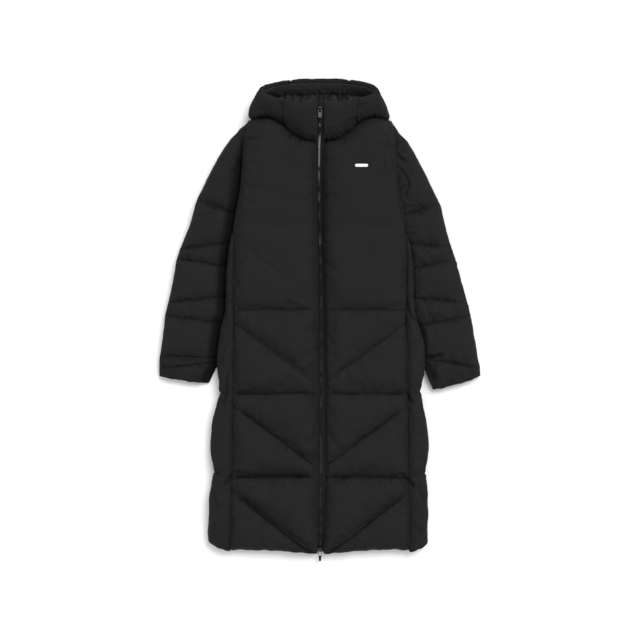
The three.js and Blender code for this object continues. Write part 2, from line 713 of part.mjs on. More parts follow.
// A thin strip on the hood's inner face, from one level to another, all round the back.
function hoodStrip(rows, levels, away, thick, tail) {
  const rings = [];
  const section = (sign, row) => {
    const line = hoodLine(row);
    const shift = (distance) => line.inward.clone().multiplyScalar(distance).setZ(distance * 0.5);
    const face = levels.map((level) => line.innerAt(level));
    const near = face.map((p) => p.clone().add(shift(away)));
    const far = face.map((p) => p.clone().add(shift(away + thick)));
    const foot = face[0];
    if (tail) {
      const ends = [0.5, 1].map((share) => foot.clone().addScaledVector(line.inward, tail * share));
      near.unshift(...ends.map((p) => p.clone().setZ(CROWN.top + SEAM_GAP)).reverse());
      far.unshift(...ends.map((p) => p.clone().setZ(CROWN.top + SEAM_GAP + thick)).reverse());
    }
    return [...near, ...far.reverse()].map((p) => leaning(sign, row, p, p.z));
  };
  for (const row of rows) rings.push(section(1, row));
  for (const row of rows.toReversed().slice(1)) rings.push(section(-1, row));
  return loft(rings);
}

// The hood's crown, folded under between the neck and the far side of the opening.
function foldedCrown() {
  const columns = 10;
  const rows = 5;
  const grid = [];
  for (let j = 0; j <= rows; j += 1) {
    const line = [];
    for (let i = 0; i <= columns; i += 1) {
      const x = mix(-CROWN.half, CROWN.half, i / columns);
      const far = CROWN.backY - CROWN.backRise * (x / CROWN.half) ** 2;
      const y = mix(backNeck(x) + 2 * SEAM_GAP, far, j / rows);
      const edge = dip(Math.min(CROWN.half - Math.abs(x), y - backNeck(x)), 7, 20);
      line.push(new THREE.Vector3(x, y, CROWN.top - edge));
    }
    grid.push(line);
  }
  return panel(grid, 0);
}

// Zip

function zipTape(side) {
  const sign = signOf[side];
  const rings = [];
  const stops = [ZIP_END_Y, -606, -590, -576, -560, -540, -200, 150, 430, 450, 470, 485, 500, 515, 530, 560, ZIP_TOP_Y];
  for (const y of stops) {
    const z = zipHeight(y);
    rings.push([
      new THREE.Vector3(sign * SEAM_GAP / 2, y, z),
      new THREE.Vector3(sign * TAPE.half, y, z),
      new THREE.Vector3(sign * TAPE.half, y, z + TAPE.thick),
      new THREE.Vector3(sign * SEAM_GAP / 2, y, z + TAPE.thick),
    ]);
  }
  return loft(rings);
}

// The slider's body, wider at its mouth, with the bridge that the pull's bar passes under.
function sliderGeometry() {
  const half = SLIDER.length / 2;
  const outline = new THREE.Shape();
  outline.moveTo(-SLIDER.half * 0.7, -half);
  outline.lineTo(SLIDER.half * 0.7, -half);
  outline.quadraticCurveTo(SLIDER.half, 0, SLIDER.half, half * 0.8);
  outline.quadraticCurveTo(0, half * 1.2, -SLIDER.half, half * 0.8);
  outline.quadraticCurveTo(-SLIDER.half, 0, -SLIDER.half * 0.7, -half);
  const body = new THREE.ExtrudeGeometry(outline, { depth: SLIDER.height, bevelEnabled: false, curveSegments: 5 });
  const arch = new THREE.Shape();
  arch.moveTo(-4.6, -1);
  arch.lineTo(4.6, -1);
  arch.lineTo(4.6, 1.6);
  arch.quadraticCurveTo(4.4, 3.9, 2, 4);
  arch.lineTo(-2, 4);
  arch.quadraticCurveTo(-4.4, 3.9, -4.6, 1.6);
  const eye = new THREE.Path();
  eye.absellipse(0, 1.5, 1.7, 1.4, 0, Math.PI * 2, true);
  arch.holes.push(eye);
  const bridge = new THREE.ExtrudeGeometry(arch, { depth: 2.8, bevelEnabled: false, curveSegments: 5 });
  bridge.rotateX(Math.PI / 2);
  bridge.rotateZ(Math.PI / 2);
  bridge.translate(-1.4, 0, SLIDER.height);
  return geometryFrom(manifoldOf(body).add(manifoldOf(bridge)));
}

// The pull: a bar under the bridge, a frame round a window, and a narrower tip, all lying towards -Y.
function pullGeometry({ half, windowEnd, frameEnd, tipEnd, tipHalf }) {
  const round = half - tipHalf;
  const outline = new THREE.Shape();
  outline.moveTo(-half, PULL_BAR / 2);
  outline.lineTo(-half, round - frameEnd);
  outline.quadraticCurveTo(-half, -frameEnd, -tipHalf, -frameEnd);
  outline.lineTo(-tipHalf, -tipEnd);
  outline.lineTo(tipHalf, -tipEnd);
  outline.lineTo(tipHalf, -frameEnd);
  outline.quadraticCurveTo(half, -frameEnd, half, round - frameEnd);
  outline.lineTo(half, PULL_BAR / 2);
  const hole = new THREE.Path();
  const inside = half - 1.9;
  hole.moveTo(-inside, -PULL_BAR / 2);
  hole.lineTo(inside, -PULL_BAR / 2);
  hole.lineTo(inside, 1.5 - windowEnd);
  hole.quadraticCurveTo(inside, -windowEnd, 0, -windowEnd);
  hole.quadraticCurveTo(-inside, -windowEnd, -inside, 1.5 - windowEnd);
  outline.holes.push(hole);
  const settings = { depth: PULL_THICK, bevelEnabled: false, curveSegments: 4 };
  const plate = new THREE.ExtrudeGeometry(outline, settings);
  plate.translate(0, 0, -PULL_THICK / 2);
  return plate;
}

// A slider on the zip at y. turned is 1 where its wide mouth faces the hood, -1 where it faces the hem.
function zipSlider(name, pullName, y, turned, pullSizes) {
  const step = 5;
  const seat = new THREE.Group();
  seat.position.set(0, y, zipHeight(y) + TAPE.thick + SEAM_GAP);
  seat.rotation.x = Math.atan2(zipHeight(y + step) - zipHeight(y - step), 2 * step);
  coat.add(seat);
  const body = add(name, sliderGeometry(), gunmetal, seat);
  body.rotation.z = turned < 0 ? Math.PI : 0;
  const pull = add(pullName, pullGeometry(pullSizes), gunmetal, seat);
  pull.position.z = SLIDER.height + 1.5;
  pull.rotation.x = PULL_DROP;
}

// A plain patch of reflective film where the chest mark sits.
function chestPatch() {
  const outline = new THREE.Shape();
  const radius = PATCH.height / 2;
  outline.absarc(PATCH.width / 2 - radius, 0, radius, -Math.PI / 2, Math.PI / 2);
  outline.absarc(-PATCH.width / 2 + radius, 0, radius, Math.PI / 2, Math.PI * 1.5);
  return new THREE.ExtrudeGeometry(outline, { depth: PATCH.thick, bevelEnabled: false, curveSegments: 6 });
}

// Assembly

add("back_panel", backPanel(), shell);
for (const side of ["left", "right"]) {
  const sign = signOf[side];
  add(`front_${side}`, frontPanel(side), shell);
  add(`side_panel_${side}`, sidePanel(side), shell);
  add(`sleeve_${side}`, sleeve(side), shell);
  const collarEnd = hoodRowAt(collarSeamX - SEAM_GAP / 2);
  const sideStart = hoodRowAt(collarSeamX + SEAM_GAP / 2);
  const backRows = [6.99, 7.5, 8, 8.5, 9, 9.5, 10, 10.5, HOOD_SEAMS.centre - 0.005];
  add(`collar_${side}`, hoodWall(sign, [...collarRows, collarEnd]), shell);
  add(`hood_side_${side}`, hoodWall(sign, [sideStart, ...hoodSideRows, ...backRows]), shell);
  add(`zip_tape_${side}`, zipTape(side), tapeCloth);
}
add("hood_centre", hoodCentre(), shell);
const facingRows = [7.5, 8, 8.5, 9, 9.5, 10, 10.5, 11, 11.67, 12.34, 13];
add("hood_facing", hoodStrip(facingRows, [0.62, 0.74, 0.86, 0.97], 2, 1.6, 0), shell);
add("hood_lining", hoodStrip(facingRows.slice(2), [0.34, 0.42, 0.52, 0.6], 1, LINING, 46), lining);
add("hood_crown_folded", foldedCrown(), lining);
zipSlider("zip_slider_top", "zip_pull_top", SLIDER.topY, 1, PULLS.top);
zipSlider("zip_slider_bottom", "zip_pull_bottom", SLIDER.bottomY, -1, PULLS.bottom);
const patch = add("chest_patch", chestPatch(), reflective);
patch.position.set(PATCH.x, PATCH.y, FRONT_CREST + SEAM_GAP);

// The origin is the middle of the coat's box, on the surface that it lies on.
coat.updateMatrixWorld(true);
const box = new THREE.Box3().setFromObject(coat);
coat.position.set(-(box.min.x + box.max.x) / 2, -(box.min.y + box.max.y) / 2, -box.min.z);

export default coat;
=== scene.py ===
"""Looks for a long hooded puffer coat with a two-way zip, lying closed and flat on its back."""

import math
from contextlib import contextmanager

import bmesh
import bpy
import numpy as np
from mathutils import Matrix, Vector, noise
from mathutils.bvhtree import BVHTree


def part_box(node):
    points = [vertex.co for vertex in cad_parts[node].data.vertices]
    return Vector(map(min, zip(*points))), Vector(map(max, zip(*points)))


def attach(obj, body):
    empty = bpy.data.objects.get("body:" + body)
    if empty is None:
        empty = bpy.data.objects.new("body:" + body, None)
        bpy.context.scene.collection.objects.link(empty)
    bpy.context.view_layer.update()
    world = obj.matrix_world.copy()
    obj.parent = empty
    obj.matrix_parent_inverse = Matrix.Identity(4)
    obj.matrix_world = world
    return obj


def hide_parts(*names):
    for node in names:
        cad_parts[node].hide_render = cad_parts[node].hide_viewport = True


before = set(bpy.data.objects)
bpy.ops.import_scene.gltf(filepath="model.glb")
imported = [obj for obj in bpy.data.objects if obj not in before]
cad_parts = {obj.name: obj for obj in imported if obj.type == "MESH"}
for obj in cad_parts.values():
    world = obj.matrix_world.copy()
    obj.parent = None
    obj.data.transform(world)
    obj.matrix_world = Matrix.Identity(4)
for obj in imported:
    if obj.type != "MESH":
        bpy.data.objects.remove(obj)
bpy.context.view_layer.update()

MM = 0.001
SIGN = {"left": 1, "right": -1}  # the wearer's left lies towards +X

# Where the cut lines run, in mm: from_zip is measured sideways from the zip's middle line,
# and below is measured down from the fronts' highest point, at the shoulder.

ZIP_EDGE = 12
SIDE_SEAM = [
    {"below": -4, "from_zip": 189},
    {"below": 13, "from_zip": 190},
    {"below": 64, "from_zip": 205},
    {"below": 118, "from_zip": 207},
    {"below": 175, "from_zip": 212},
    {"below": 233, "from_zip": 220},
    {"below": 296, "from_zip": 232},
    {"below": 418, "from_zip": 234},
    {"below": 598, "from_zip": 234},
    {"below": 953, "from_zip": 237},
    {"below": 1033, "from_zip": 241},
    {"below": 1175, "from_zip": 242},
]
OUTLINE = [
    {"below": 296, "left": 233, "right": 233},
    {"below": 312, "left": 239, "right": 240},
    {"below": 342, "left": 246, "right": 246},
    {"below": 404, "left": 255, "right": 254},
    {"below": 496, "left": 258, "right": 257},
    {"below": 536, "left": 262, "right": 260},
    {"below": 556, "left": 269, "right": 269},
    {"below": 598, "left": 280, "right": 275},
    {"below": 623, "left": 286, "right": 279},
    {"below": 688, "left": 284, "right": 280},
    {"below": 744, "left": 274, "right": 274},
    {"below": 783, "left": 282, "right": 284},
    {"below": 820, "left": 290, "right": 294},
    {"below": 879, "left": 296, "right": 298},
    {"below": 923, "left": 294, "right": 298},
    {"below": 962, "left": 286, "right": 290},
    {"below": 990, "left": 292, "right": 296},
    {"below": 1028, "left": 294, "right": 302},
    {"below": 1159, "left": 294, "right": 306},
]
NECK = [
    {"from_zip": 0, "below": 67},
    {"from_zip": 50, "below": 60.5},
    {"from_zip": 78, "below": 43},
    {"from_zip": 98, "below": 23},
    {"from_zip": 118, "below": 8},
    {"from_zip": 139, "below": 0},
    {"from_zip": 165, "below": 2},
    {"from_zip": 190, "below": 11},
]
HEM_BELOW = {"zip": 1187, "seam": 1175, "corner": 1159}
POCKET = {"top": 418, "bottom": 600}
UNDERARM = 306
PAST_OUTLINE = 330  # a distance from the zip that lies outside the body everywhere
ZIP_LINE = {"top": -33, "bottom": 1176}
FRONT_EDGE = {"left": 9.5, "right": 6}  # where each front really ends beside the teeth

# How far the closed zip wanders towards the wearer's left on its way down.
ZIP_DRIFT = [
    {"below": -33, "drift": 0.5},
    {"below": 30, "drift": -0.5},
    {"below": 90, "drift": -2.2},
    {"below": 300, "drift": -1.0},
    {"below": 430, "drift": 1.5},
    {"below": 600, "drift": 3.2},
    {"below": 820, "drift": 2.6},
    {"below": 1060, "drift": 1.2},
    {"below": 1150, "drift": 0.0},
    {"below": 1190, "drift": 0.0},
]

# Level quilting lines, with their ends at the side's outline, and the diagonal under each: where it
# starts at the seam and ends at the zip.
QUILT = [
    {"level": 296, "at_outline": 300, "at_seam": 331, "at_zip": 492, "pressed": 0.1},
    {"level": 523, "at_outline": 527, "at_seam": 558, "at_zip": 719, "pressed": 0.6},
    {"level": 750, "at_outline": 741, "at_seam": 785, "at_zip": 946, "pressed": 0.9},
    {"level": 977, "at_outline": 957, "at_seam": 1014, "at_zip": 1195, "pressed": 1.15},
]

# Each sleeve from neck to cuff, one row a section: how far its outer fold lies from the zip and below the
# shoulder, how far below its inner end lies, its thickness, and how much of a quilting line shows there,
# from the inner end outwards.
SLEEVES = {
    "right": [
        (193, 4, 11, 32, 0),
        (199, 15, 22, 38, 0),
        (223, 36, 53, 44, 0),
        (244, 58, 90, 48, 0),
        (278, 110, 148, 52, 0),
        (309, 167, 206, 53, 0),
        (336, 226, 264, 53, 0.8),
        (358, 296, 306, 53, 0),
        (382, 359, 342, 52, 1),
        (390, 384, 408, 52, 1),
        (400.5, 445, 451, 52, 0),
        (414, 504, 487, 51, 1),
        (422, 538, 562, 50, 1),
        (428, 596, 610, 49, 0),
        (436, 648, 656, 45, 1),
        (438, 684, 666, 41, 1),
        (438, 700, 720, 30, 0),
    ],
    "left": [
        (192, 4, 11, 32, 0),
        (199, 15, 22, 38, 0),
        (217, 42, 53, 44, 0),
        (237, 65, 90, 48, 0),
        (267, 114, 148, 52, 0),
        (298.5, 175, 208, 53, 0),
        (328, 237, 268, 53, 0.6),
        (344, 300, 308, 53, 0),
        (357, 353, 346, 52, 0.6),
        (369, 388, 413, 52, 0.65),
        (385.5, 446, 454, 52, 0),
        (403, 505, 492, 51, 0.7),
        (410, 541, 567, 50, 0.8),
        (421, 598, 613, 49, 0),
        (436, 682, 657, 44, 0.9),
        (436, 688, 676, 41, 0),
        (437, 701, 738, 30, 0),
    ],
}
CUFF_INNER = {"right": 302, "left": 307}

# The seam between collar and hood side, from the neck up to the rim.
HOOD_SEAM = [(99, 22), (100, 8), (102, -16), (104, -42)]

# The seam between hood side and centre, at the back of the opening.
CROWN_SEAM = [(102, -46), (102, -110)]

# Soft folds that lie in the cloth, as lines of (from_zip, below), with depth and width.
FOLDS = {
    "front_right": [
        {
            "line": [(166, 304), (180, 340), (180, 365), (162, 385), (124, 410), (86, 439)],
            "deep": 1.3,
            "wide": 4,
        },
        {"line": [(198, 71), (189, 61), (153, 63)], "deep": 2.4, "wide": 5},
        {"line": [(235, 468), (222, 448), (210, 432)], "deep": 1.8, "wide": 4},
        {"line": [(231, 508), (214, 480), (198, 454)], "deep": 1.8, "wide": 4},
        {"line": [(224, 398), (203, 386)], "deep": 1.4, "wide": 4},
        {"line": [(166, 130), (160, 150), (150, 172)], "deep": 1.0, "wide": 4},
        {"line": [(238, 955), (222, 964), (206, 962)], "deep": 2.4, "wide": 5},
        {"line": [(150, 1172), (156, 1146), (160, 1120)], "deep": 2.0, "wide": 6},
        {"line": [(52, 60), (70, 52), (84, 54)], "deep": 1.2, "wide": 5},
    ],
    "front_left": [
        {"line": [(163, 91), (174, 124), (186, 153)], "deep": 2.0, "wide": 3.4},
        {"line": [(192, 104), (197, 132), (194, 150)], "deep": 1.8, "wide": 3.4},
        {"line": [(176, 66), (188, 84), (198, 88)], "deep": 1.4, "wide": 5},
        {"line": [(209, 959), (226, 972), (244, 990)], "deep": 3.0, "wide": 5},
        {"line": [(226, 738), (238, 752)], "deep": 2.0, "wide": 5},
        {"line": [(78, 1166), (66, 1140), (44, 1128)], "deep": 2.2, "wide": 6},
        {"line": [(40, 620), (28, 606), (20, 590)], "deep": 1.6, "wide": 5},
    ],
    "side_panel_right": [
        {"line": [(247, 684), (251, 722), (254, 757), (267, 786)], "deep": 4.0, "wide": 6},
        {"line": [(234, 962), (247, 985), (270, 999)], "deep": 4.0, "wide": 6},
        {"line": [(243, 600), (262, 640), (266, 676)], "deep": 1.8, "wide": 7},
        {"line": [(270, 1064), (282, 1040), (288, 1010)], "deep": 2.0, "wide": 7},
    ],
    "side_panel_left": [
        {"line": [(232, 742), (240, 764), (255, 782)], "deep": 4.0, "wide": 6},
        {"line": [(236, 980), (247, 993), (258, 1006)], "deep": 4.0, "wide": 6},
        {
            "line": [(236, 490), (238, 516), (242, 535), (249, 547), (260, 553), (272, 555)],
            "deep": 4.4,
            "wide": 3,
        },
        {"line": [(262, 988), (272, 1012), (284, 1048)], "deep": 2.2, "wide": 7},
        {"line": [(262, 960), (274, 958), (290, 946)], "deep": 2.4, "wide": 7},
        {"line": [(248, 1100), (266, 1112), (280, 1136)], "deep": 1.8, "wide": 7},
    ],
    "sleeve_left": [
        {
            "line": [(205, 130), (225, 150), (238, 170), (240, 190), (229, 214)],
            "deep": 3.4,
            "wide": 3.6,
        },
        {"line": [(206, 98), (218, 112), (234, 120)], "deep": 2.6, "wide": 4},
        {"line": [(222, 215), (238, 214), (258, 213)], "deep": 1.6, "wide": 3},
        {"line": [(212, 116), (234, 119)], "deep": 2.0, "wide": 5},
        {"line": [(262, 560), (276, 572), (284, 600), (280, 640)], "deep": 3.0, "wide": 7},
        {"line": [(284, 650), (306, 652), (334, 642)], "deep": 5.0, "wide": 5},
        {"line": [(284, 656), (300, 690), (316, 724)], "deep": 4.4, "wide": 9},
        {"line": [(318, 664), (306, 690)], "deep": 2.4, "wide": 6},
        {"line": [(300, 548), (290, 520)], "deep": 2.4, "wide": 5},
    ],
    "sleeve_right": [
        {"line": [(212, 120), (238, 150), (240, 196)], "deep": 2.0, "wide": 7},
        {"line": [(330, 395), (308, 370)], "deep": 1.6, "wide": 6},
        {"line": [(424, 651), (391, 647), (379, 658), (302, 658)], "deep": 2.4, "wide": 5},
        {"line": [(330, 268), (300, 262), (272, 270)], "deep": 2.0, "wide": 6},
    ],
}

zip_x = (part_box("front_left")[0].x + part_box("front_right")[1].x) / 2
shoulder_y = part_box("front_left")[1].y


def place(side, from_zip, below):
    """A point seen from above, in metres, from its distances in mm."""
    return (zip_x + SIGN[side] * from_zip * MM, shoulder_y - below * MM)


def measured(points, side):
    """The reverse of place: how far each point lies from the zip and below the shoulder, in mm."""
    return SIGN[side] * (points[:, 0] - zip_x) / MM, (shoulder_y - points[:, 1]) / MM


def column(table, key, column_name):
    """A table's column as a function of another, smooth through its rows."""
    keys = np.array([row[key] for row in table], float)
    values = np.array([row[column_name] for row in table], float)
    slopes = np.gradient(values, keys)

    def read(at):
        where = float(np.clip(at, keys[0], keys[-1]))
        i = min(int(np.searchsorted(keys, where, "right")) - 1, len(keys) - 2)
        span = keys[i + 1] - keys[i]
        t = (where - keys[i]) / span
        blend = t * t * (3 - 2 * t)
        bend = t * (1 - t) * span * ((1 - t) * slopes[i] - t * slopes[i + 1])
        return float(values[i] + (values[i + 1] - values[i]) * blend + bend)

    return read


seam_from_zip = column(SIDE_SEAM, "below", "from_zip")
outline_from_zip = {side: column(OUTLINE, "below", side) for side in SIGN}
neck_below = column(NECK, "from_zip", "below")
zip_drift = column(ZIP_DRIFT, "below", "drift")


# Meshes


def new_object(name, mesh):
    piece = bpy.data.objects.new(name, mesh)
    bpy.context.scene.collection.objects.link(piece)
    return piece


def from_geometry(name, points, faces):
    mesh = bpy.data.meshes.new(name)
    mesh.from_pydata([tuple(p) for p in points], [], faces)
    return new_object(name, mesh)


def skin(name, points, count):
    """A surface that faces up, through rows of count points each."""
    corners = [a for a in range(len(points) - count) if (a + 1) % count]
    piece = from_geometry(name, points, [(a, a + 1, a + count + 1, a + count) for a in corners])
    if sum(face.normal.z for face in piece.data.polygons) < 0:
        piece.data.flip_normals()
    return piece


@contextmanager
def edited(piece):
    """The piece's mesh, open for editing."""
    shape = bmesh.new()
    shape.from_mesh(piece.data)
    yield shape
    shape.to_mesh(piece.data)
    shape.free()


def merged_copy(node, name):
    """A CAD node's shape as a mesh of its own, with its loose triangles joined."""
    piece = new_object(name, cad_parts[node].data.copy())
    piece.data.materials.clear()
    with edited(piece) as shape:
        bmesh.ops.remove_doubles(shape, verts=shape.verts, dist=0.02 * MM)
    return piece


def settle(piece):
    """Turns the piece's modifiers into its mesh."""
    graph = bpy.context.evaluated_depsgraph_get()
    mesh = bpy.data.meshes.new_from_object(piece.evaluated_get(graph))
    piece.modifiers.clear()
    piece.data = mesh
    piece.vertex_groups.clear()
    return piece


def remesh(piece, step):
    modifier = piece.modifiers.new("even grid", "REMESH")
    modifier.mode = "VOXEL"
    modifier.voxel_size = step * MM
    return settle(piece)


def refine(piece):
    """Subdivides the cloth, and keeps it from dipping below the surface that it lies on."""
    modifier = piece.modifiers.new("finer cloth", "SUBSURF")
    modifier.levels = 1
    modifier.render_levels = 1
    settle(piece)
    points = points_of(piece)
    points[:, 2] = np.maximum(points[:, 2], 0)
    move_points(piece, points)
    return piece


def points_of(piece):
    values = np.empty(len(piece.data.vertices) * 3)
    piece.data.vertices.foreach_get("co", values)
    return values.reshape(-1, 3)


def move_points(piece, points):
    piece.data.vertices.foreach_set("co", points.ravel())
    piece.data.update()


def normals_of(piece):
    values = np.empty(len(piece.data.vertices) * 3)
    piece.data.vertex_normals.foreach_get("vector", values)
    return values.reshape(-1, 3)


def soften(piece, repeats, held):
    """Evens out facets: each point drifts to its neighbours' middle, as far as held lets it."""
    count = len(piece.data.vertices)
    edges = np.empty(len(piece.data.edges) * 2, dtype=np.int64)
    piece.data.edges.foreach_get("vertices", edges)
    starts, ends = edges.reshape(-1, 2).T
    neighbours = np.bincount(starts, minlength=count) + np.bincount(ends, minlength=count)
    points = points_of(piece)
    free = (1 - held)[:, None] * 0.6
    for _ in range(repeats):
        total = np.zeros_like(points)
        for axis in range(3):
            total[:, axis] = np.bincount(starts, points[ends, axis], count)
            total[:, axis] += np.bincount(ends, points[starts, axis], count)
        points += free * (total / neighbours[:, None] - points)
    move_points(piece, points)


# Sewn lines


class SewnLine:
    """A line of stitching seen from above, with how hard it is pulled in."""

    def __init__(self, points, pressed=1.0, pucker=1.0, seed=0.0, fades=(0, 0)):
        self.points = np.array(points, float)
        self.pressed = pressed
        self.pucker = pucker
        self.seed = seed
        self.fades = fades  # mm over which the line comes in at its start and goes out at its end

    def length(self):
        return float(np.hypot(*np.diff(self.points, axis=0).T).sum())

    def upper(self, side):
        """True on the side of the line that lies nearer to the hood."""
        return side * np.sign(self.points[-1, 0] - self.points[0, 0]) > 0

    def near(self, places):
        """Distance of each place from the line, and how far along the line it lies."""
        best = np.full(len(places), np.inf)
        along = np.zeros(len(places))
        side = np.ones(len(places))
        travelled = 0.0
        for a, b in zip(self.points[:-1], self.points[1:]):
            run = b - a
            length = float(np.hypot(*run))
            share = np.clip((places - a) @ run / length**2, 0, 1)
            offset = places - (a + share[:, None] * run)
            distance = np.hypot(*offset.T)
            closer = distance < best
            best[closer] = distance[closer]
            along[closer] = travelled + share[closer] * length
            side[closer] = np.sign(run[0] * offset[closer, 1] - run[1] * offset[closer, 0])
            travelled += length
        return best, along, side

    def piece_of(self, places):
        """Which stretch of the line each place is nearest to."""
        best = np.full(len(places), np.inf)
        chosen = np.zeros(len(places), int)
        for number, (a, b) in enumerate(zip(self.points[:-1], self.points[1:])):
            run = b - a
            share = np.clip((places - a) @ run / float(run @ run), 0, 1)
            distance = np.hypot(*(places - (a + share[:, None] * run)).T)
            chosen[distance < best] = number
            best = np.minimum(best, distance)
        return chosen

    def outward(self, middle):
        """For each stretch, the way across it that leads away from a middle point."""
        runs = np.diff(self.points, axis=0)
        across = np.column_stack([-runs[:, 1], runs[:, 0]]) / np.hypot(*runs.T)[:, None]
        centres = (self.points[:-1] + self.points[1:]) / 2
        turned = np.sign(((centres - middle) * across).sum(axis=1))
        return across * np.where(turned == 0, 1, turned)[:, None]


def quilt_lines(side):
    """The quilting of one front: level lines and the diagonals between them."""
    lines = []
    for number, row in enumerate(QUILT):
        edge = seam_from_zip(row["level"])
        level = [place(side, ZIP_EDGE, row["level"]), place(side, edge, row["level"])]
        strength = row["pressed"]
        lines.append(SewnLine(level, strength, strength, number * 7.3 + SIGN[side], (24, 10)))
        low_edge = seam_from_zip(row["at_seam"])
        slanted = [place(side, ZIP_EDGE, row["at_zip"]), place(side, low_edge, row["at_seam"])]
        strength = row["pressed"] * 0.9
        lines.append(SewnLine(slanted, strength, strength, number * 3.1 + 40 + SIGN[side], (10, 40)))
    return lines


def side_seam_line(side, start=0):
    steps = np.linspace(start, HEM_BELOW["seam"], 60)
    points = [place(side, seam_from_zip(below), below) for below in steps]
    return SewnLine(points, 0.5, 0.6, 11.0 + SIGN[side])


def zip_edge_line(side):
    steps = np.linspace(NECK[0]["below"], HEM_BELOW["zip"], 60)
    points = [place(side, ZIP_EDGE, below) for below in steps]
    return SewnLine(points, 0.4, 0.7, 23.0 + SIGN[side])


def neck_line(side):
    steps = np.linspace(ZIP_EDGE, 188, 40)
    points = [place(side, x, neck_below(x)) for x in steps]
    return SewnLine(points, 0.6, 1.3, 31.0 + SIGN[side])


def hem_line(side):
    seam = HEM_BELOW["seam"]
    points = [place(side, ZIP_EDGE, HEM_BELOW["zip"]), place(side, seam_from_zip(seam), seam)]
    return SewnLine(points, 0.4, 1.2, 47.0 + SIGN[side])


def ramp(values, low, high):
    """0 at low, 1 at high, smooth between."""
    share = np.clip((values - low) / (high - low), 0, 1)
    return share * share * (3 - 2 * share)


def ripple(position, seed, row=0.0):
    """An uneven wave between about -1 and 1. Each seed gives another one, and row makes it drift."""
    phases = [math.sin(seed * 12.9898 + part * 78.233) * 437.585 for part in range(3)]
    total = np.sin(2 * math.pi * (0.83 * position + phases[0] + 0.23 * row))
    total = total + np.sin(2 * math.pi * (1.31 * position + phases[1] - 0.37 * row))
    total = total + np.sin(2 * math.pi * (0.47 * position + phases[2] + 0.11 * row))
    return total * 0.42


# Sizes of the gathers along a seam, in mm. Creases come in patches.
GATHER = {"fine": 21, "fine_reach": 13, "patch": 75, "broad": 40, "broad_reach": 30, "roll_reach": 15}
ROLL = {"left": 4.0, "right": 7.0}
PAINTED_SHADE = "crease_and_shade"  # painted shade: how far a point's colour is darkened for the shade in creases, folds, sewn lines and where a sleeve falls away, kept on the mesh for the cloth's colour


def paint_shade(piece, amount):
    """Keeps the darkest painted shade seen so far at each point."""
    count = len(piece.data.vertices)
    layer = piece.data.attributes.get(PAINTED_SHADE) or piece.data.attributes.new(PAINTED_SHADE, "FLOAT", "POINT")
    before = np.zeros(count)
    layer.data.foreach_get("value", before)
    layer.data.foreach_set("value", np.maximum(before, np.clip(amount, 0, 1)))


def sew(piece, lines, groove, height, up=True, floor=None, stroke=0.8, roll=0.0):
    """Presses each line into the cloth and gathers it: short creases across it, broad swells beyond.

    groove is the line's depth and width, height that of the gathers, stroke how much shade is painted
    along the line, and roll how far the fuller cloth on the hood's side rolls down to it. All but stroke
    are in mm. Shade is also painted into the line's creases and onto its roll.
    """
    points = points_of(piece)
    facing = normals_of(piece)
    shown = facing[:, 2] > 0.15 if up else np.ones(len(points), bool)
    depth, width = groove
    shift = np.zeros(len(points))
    dark = np.zeros(len(points))
    for line in lines:
        distance, along, side = line.near(points[:, :2])
        away = distance / MM
        at = along / MM
        lean = side * 3.0
        patchy = np.clip(0.5 + 1.3 * ripple(at / GATHER["patch"], line.seed + 17, lean), 0, 1.4)
        crossing = ripple((at + 0.4 * away * side) / GATHER["fine"], line.seed, lean)
        crease_and_shade = np.clip(1 - np.abs(crossing) / 0.42, 0, 1) * patchy * line.pucker
        crease_and_shade *= np.exp(-away / (GATHER["fine_reach"] * (0.5 + 0.6 * patchy)))
        broad = ripple(at / GATHER["broad"], line.seed + 90, lean + away / 60) * line.pucker
        broad *= np.exp(-away / GATHER["broad_reach"]) * np.minimum(away / 6, 1)
        starts, ends = line.fades
        to_end = line.length() / MM - at
        shows = ramp(at, 0.4 * starts - 1, starts) * ramp(to_end, 0.4 * ends - 1, ends)
        rolled = np.where(line.upper(side), np.exp(-away / GATHER["roll_reach"]), 0) * line.pressed
        shift -= np.exp(-((away / width) ** 2)) * depth * line.pressed * (0.4 + 0.6 * shows)
        shift += height * (1.3 * broad - 2.1 * crease_and_shade) - roll * rolled * shows
        uneven = 0.75 + 0.4 * ripple(at / 90, line.seed + 5)
        # Painted shade along the line, in its creases and on the roll above it: the cloth's colour is
        # darkened where shade falls.
        sewn = np.exp(-((away / 1.9) ** 2)) * min(line.pressed * 1.2, 1) * stroke * shows * uneven
        dark = np.maximum.reduce([dark, sewn, 0.5 * crease_and_shade, 0.07 * roll * rolled**2 * shows])
    points += facing * (np.where(shown, shift, 0) * MM)[:, None]
    if floor is not None:
        points[:, 2] = np.maximum(points[:, 2], floor)
    move_points(piece, points)
    paint_shade(piece, np.where(shown, dark, 0))


def crumple(piece, height, size, seed, held):
    """A soft unevenness all over, as filling gives."""
    points = points_of(piece)
    facing = normals_of(piece)
    shift = np.array(
        [noise.fractal(Vector(p) / (size * MM) + Vector((seed, 0, 0)), 0.9, 2.1, 3) for p in points]
    )
    points += facing * (shift * (1 - held) * height * MM)[:, None]
    move_points(piece, points)


# Cloth that fills out

SIMULATED_FRAMES = 12


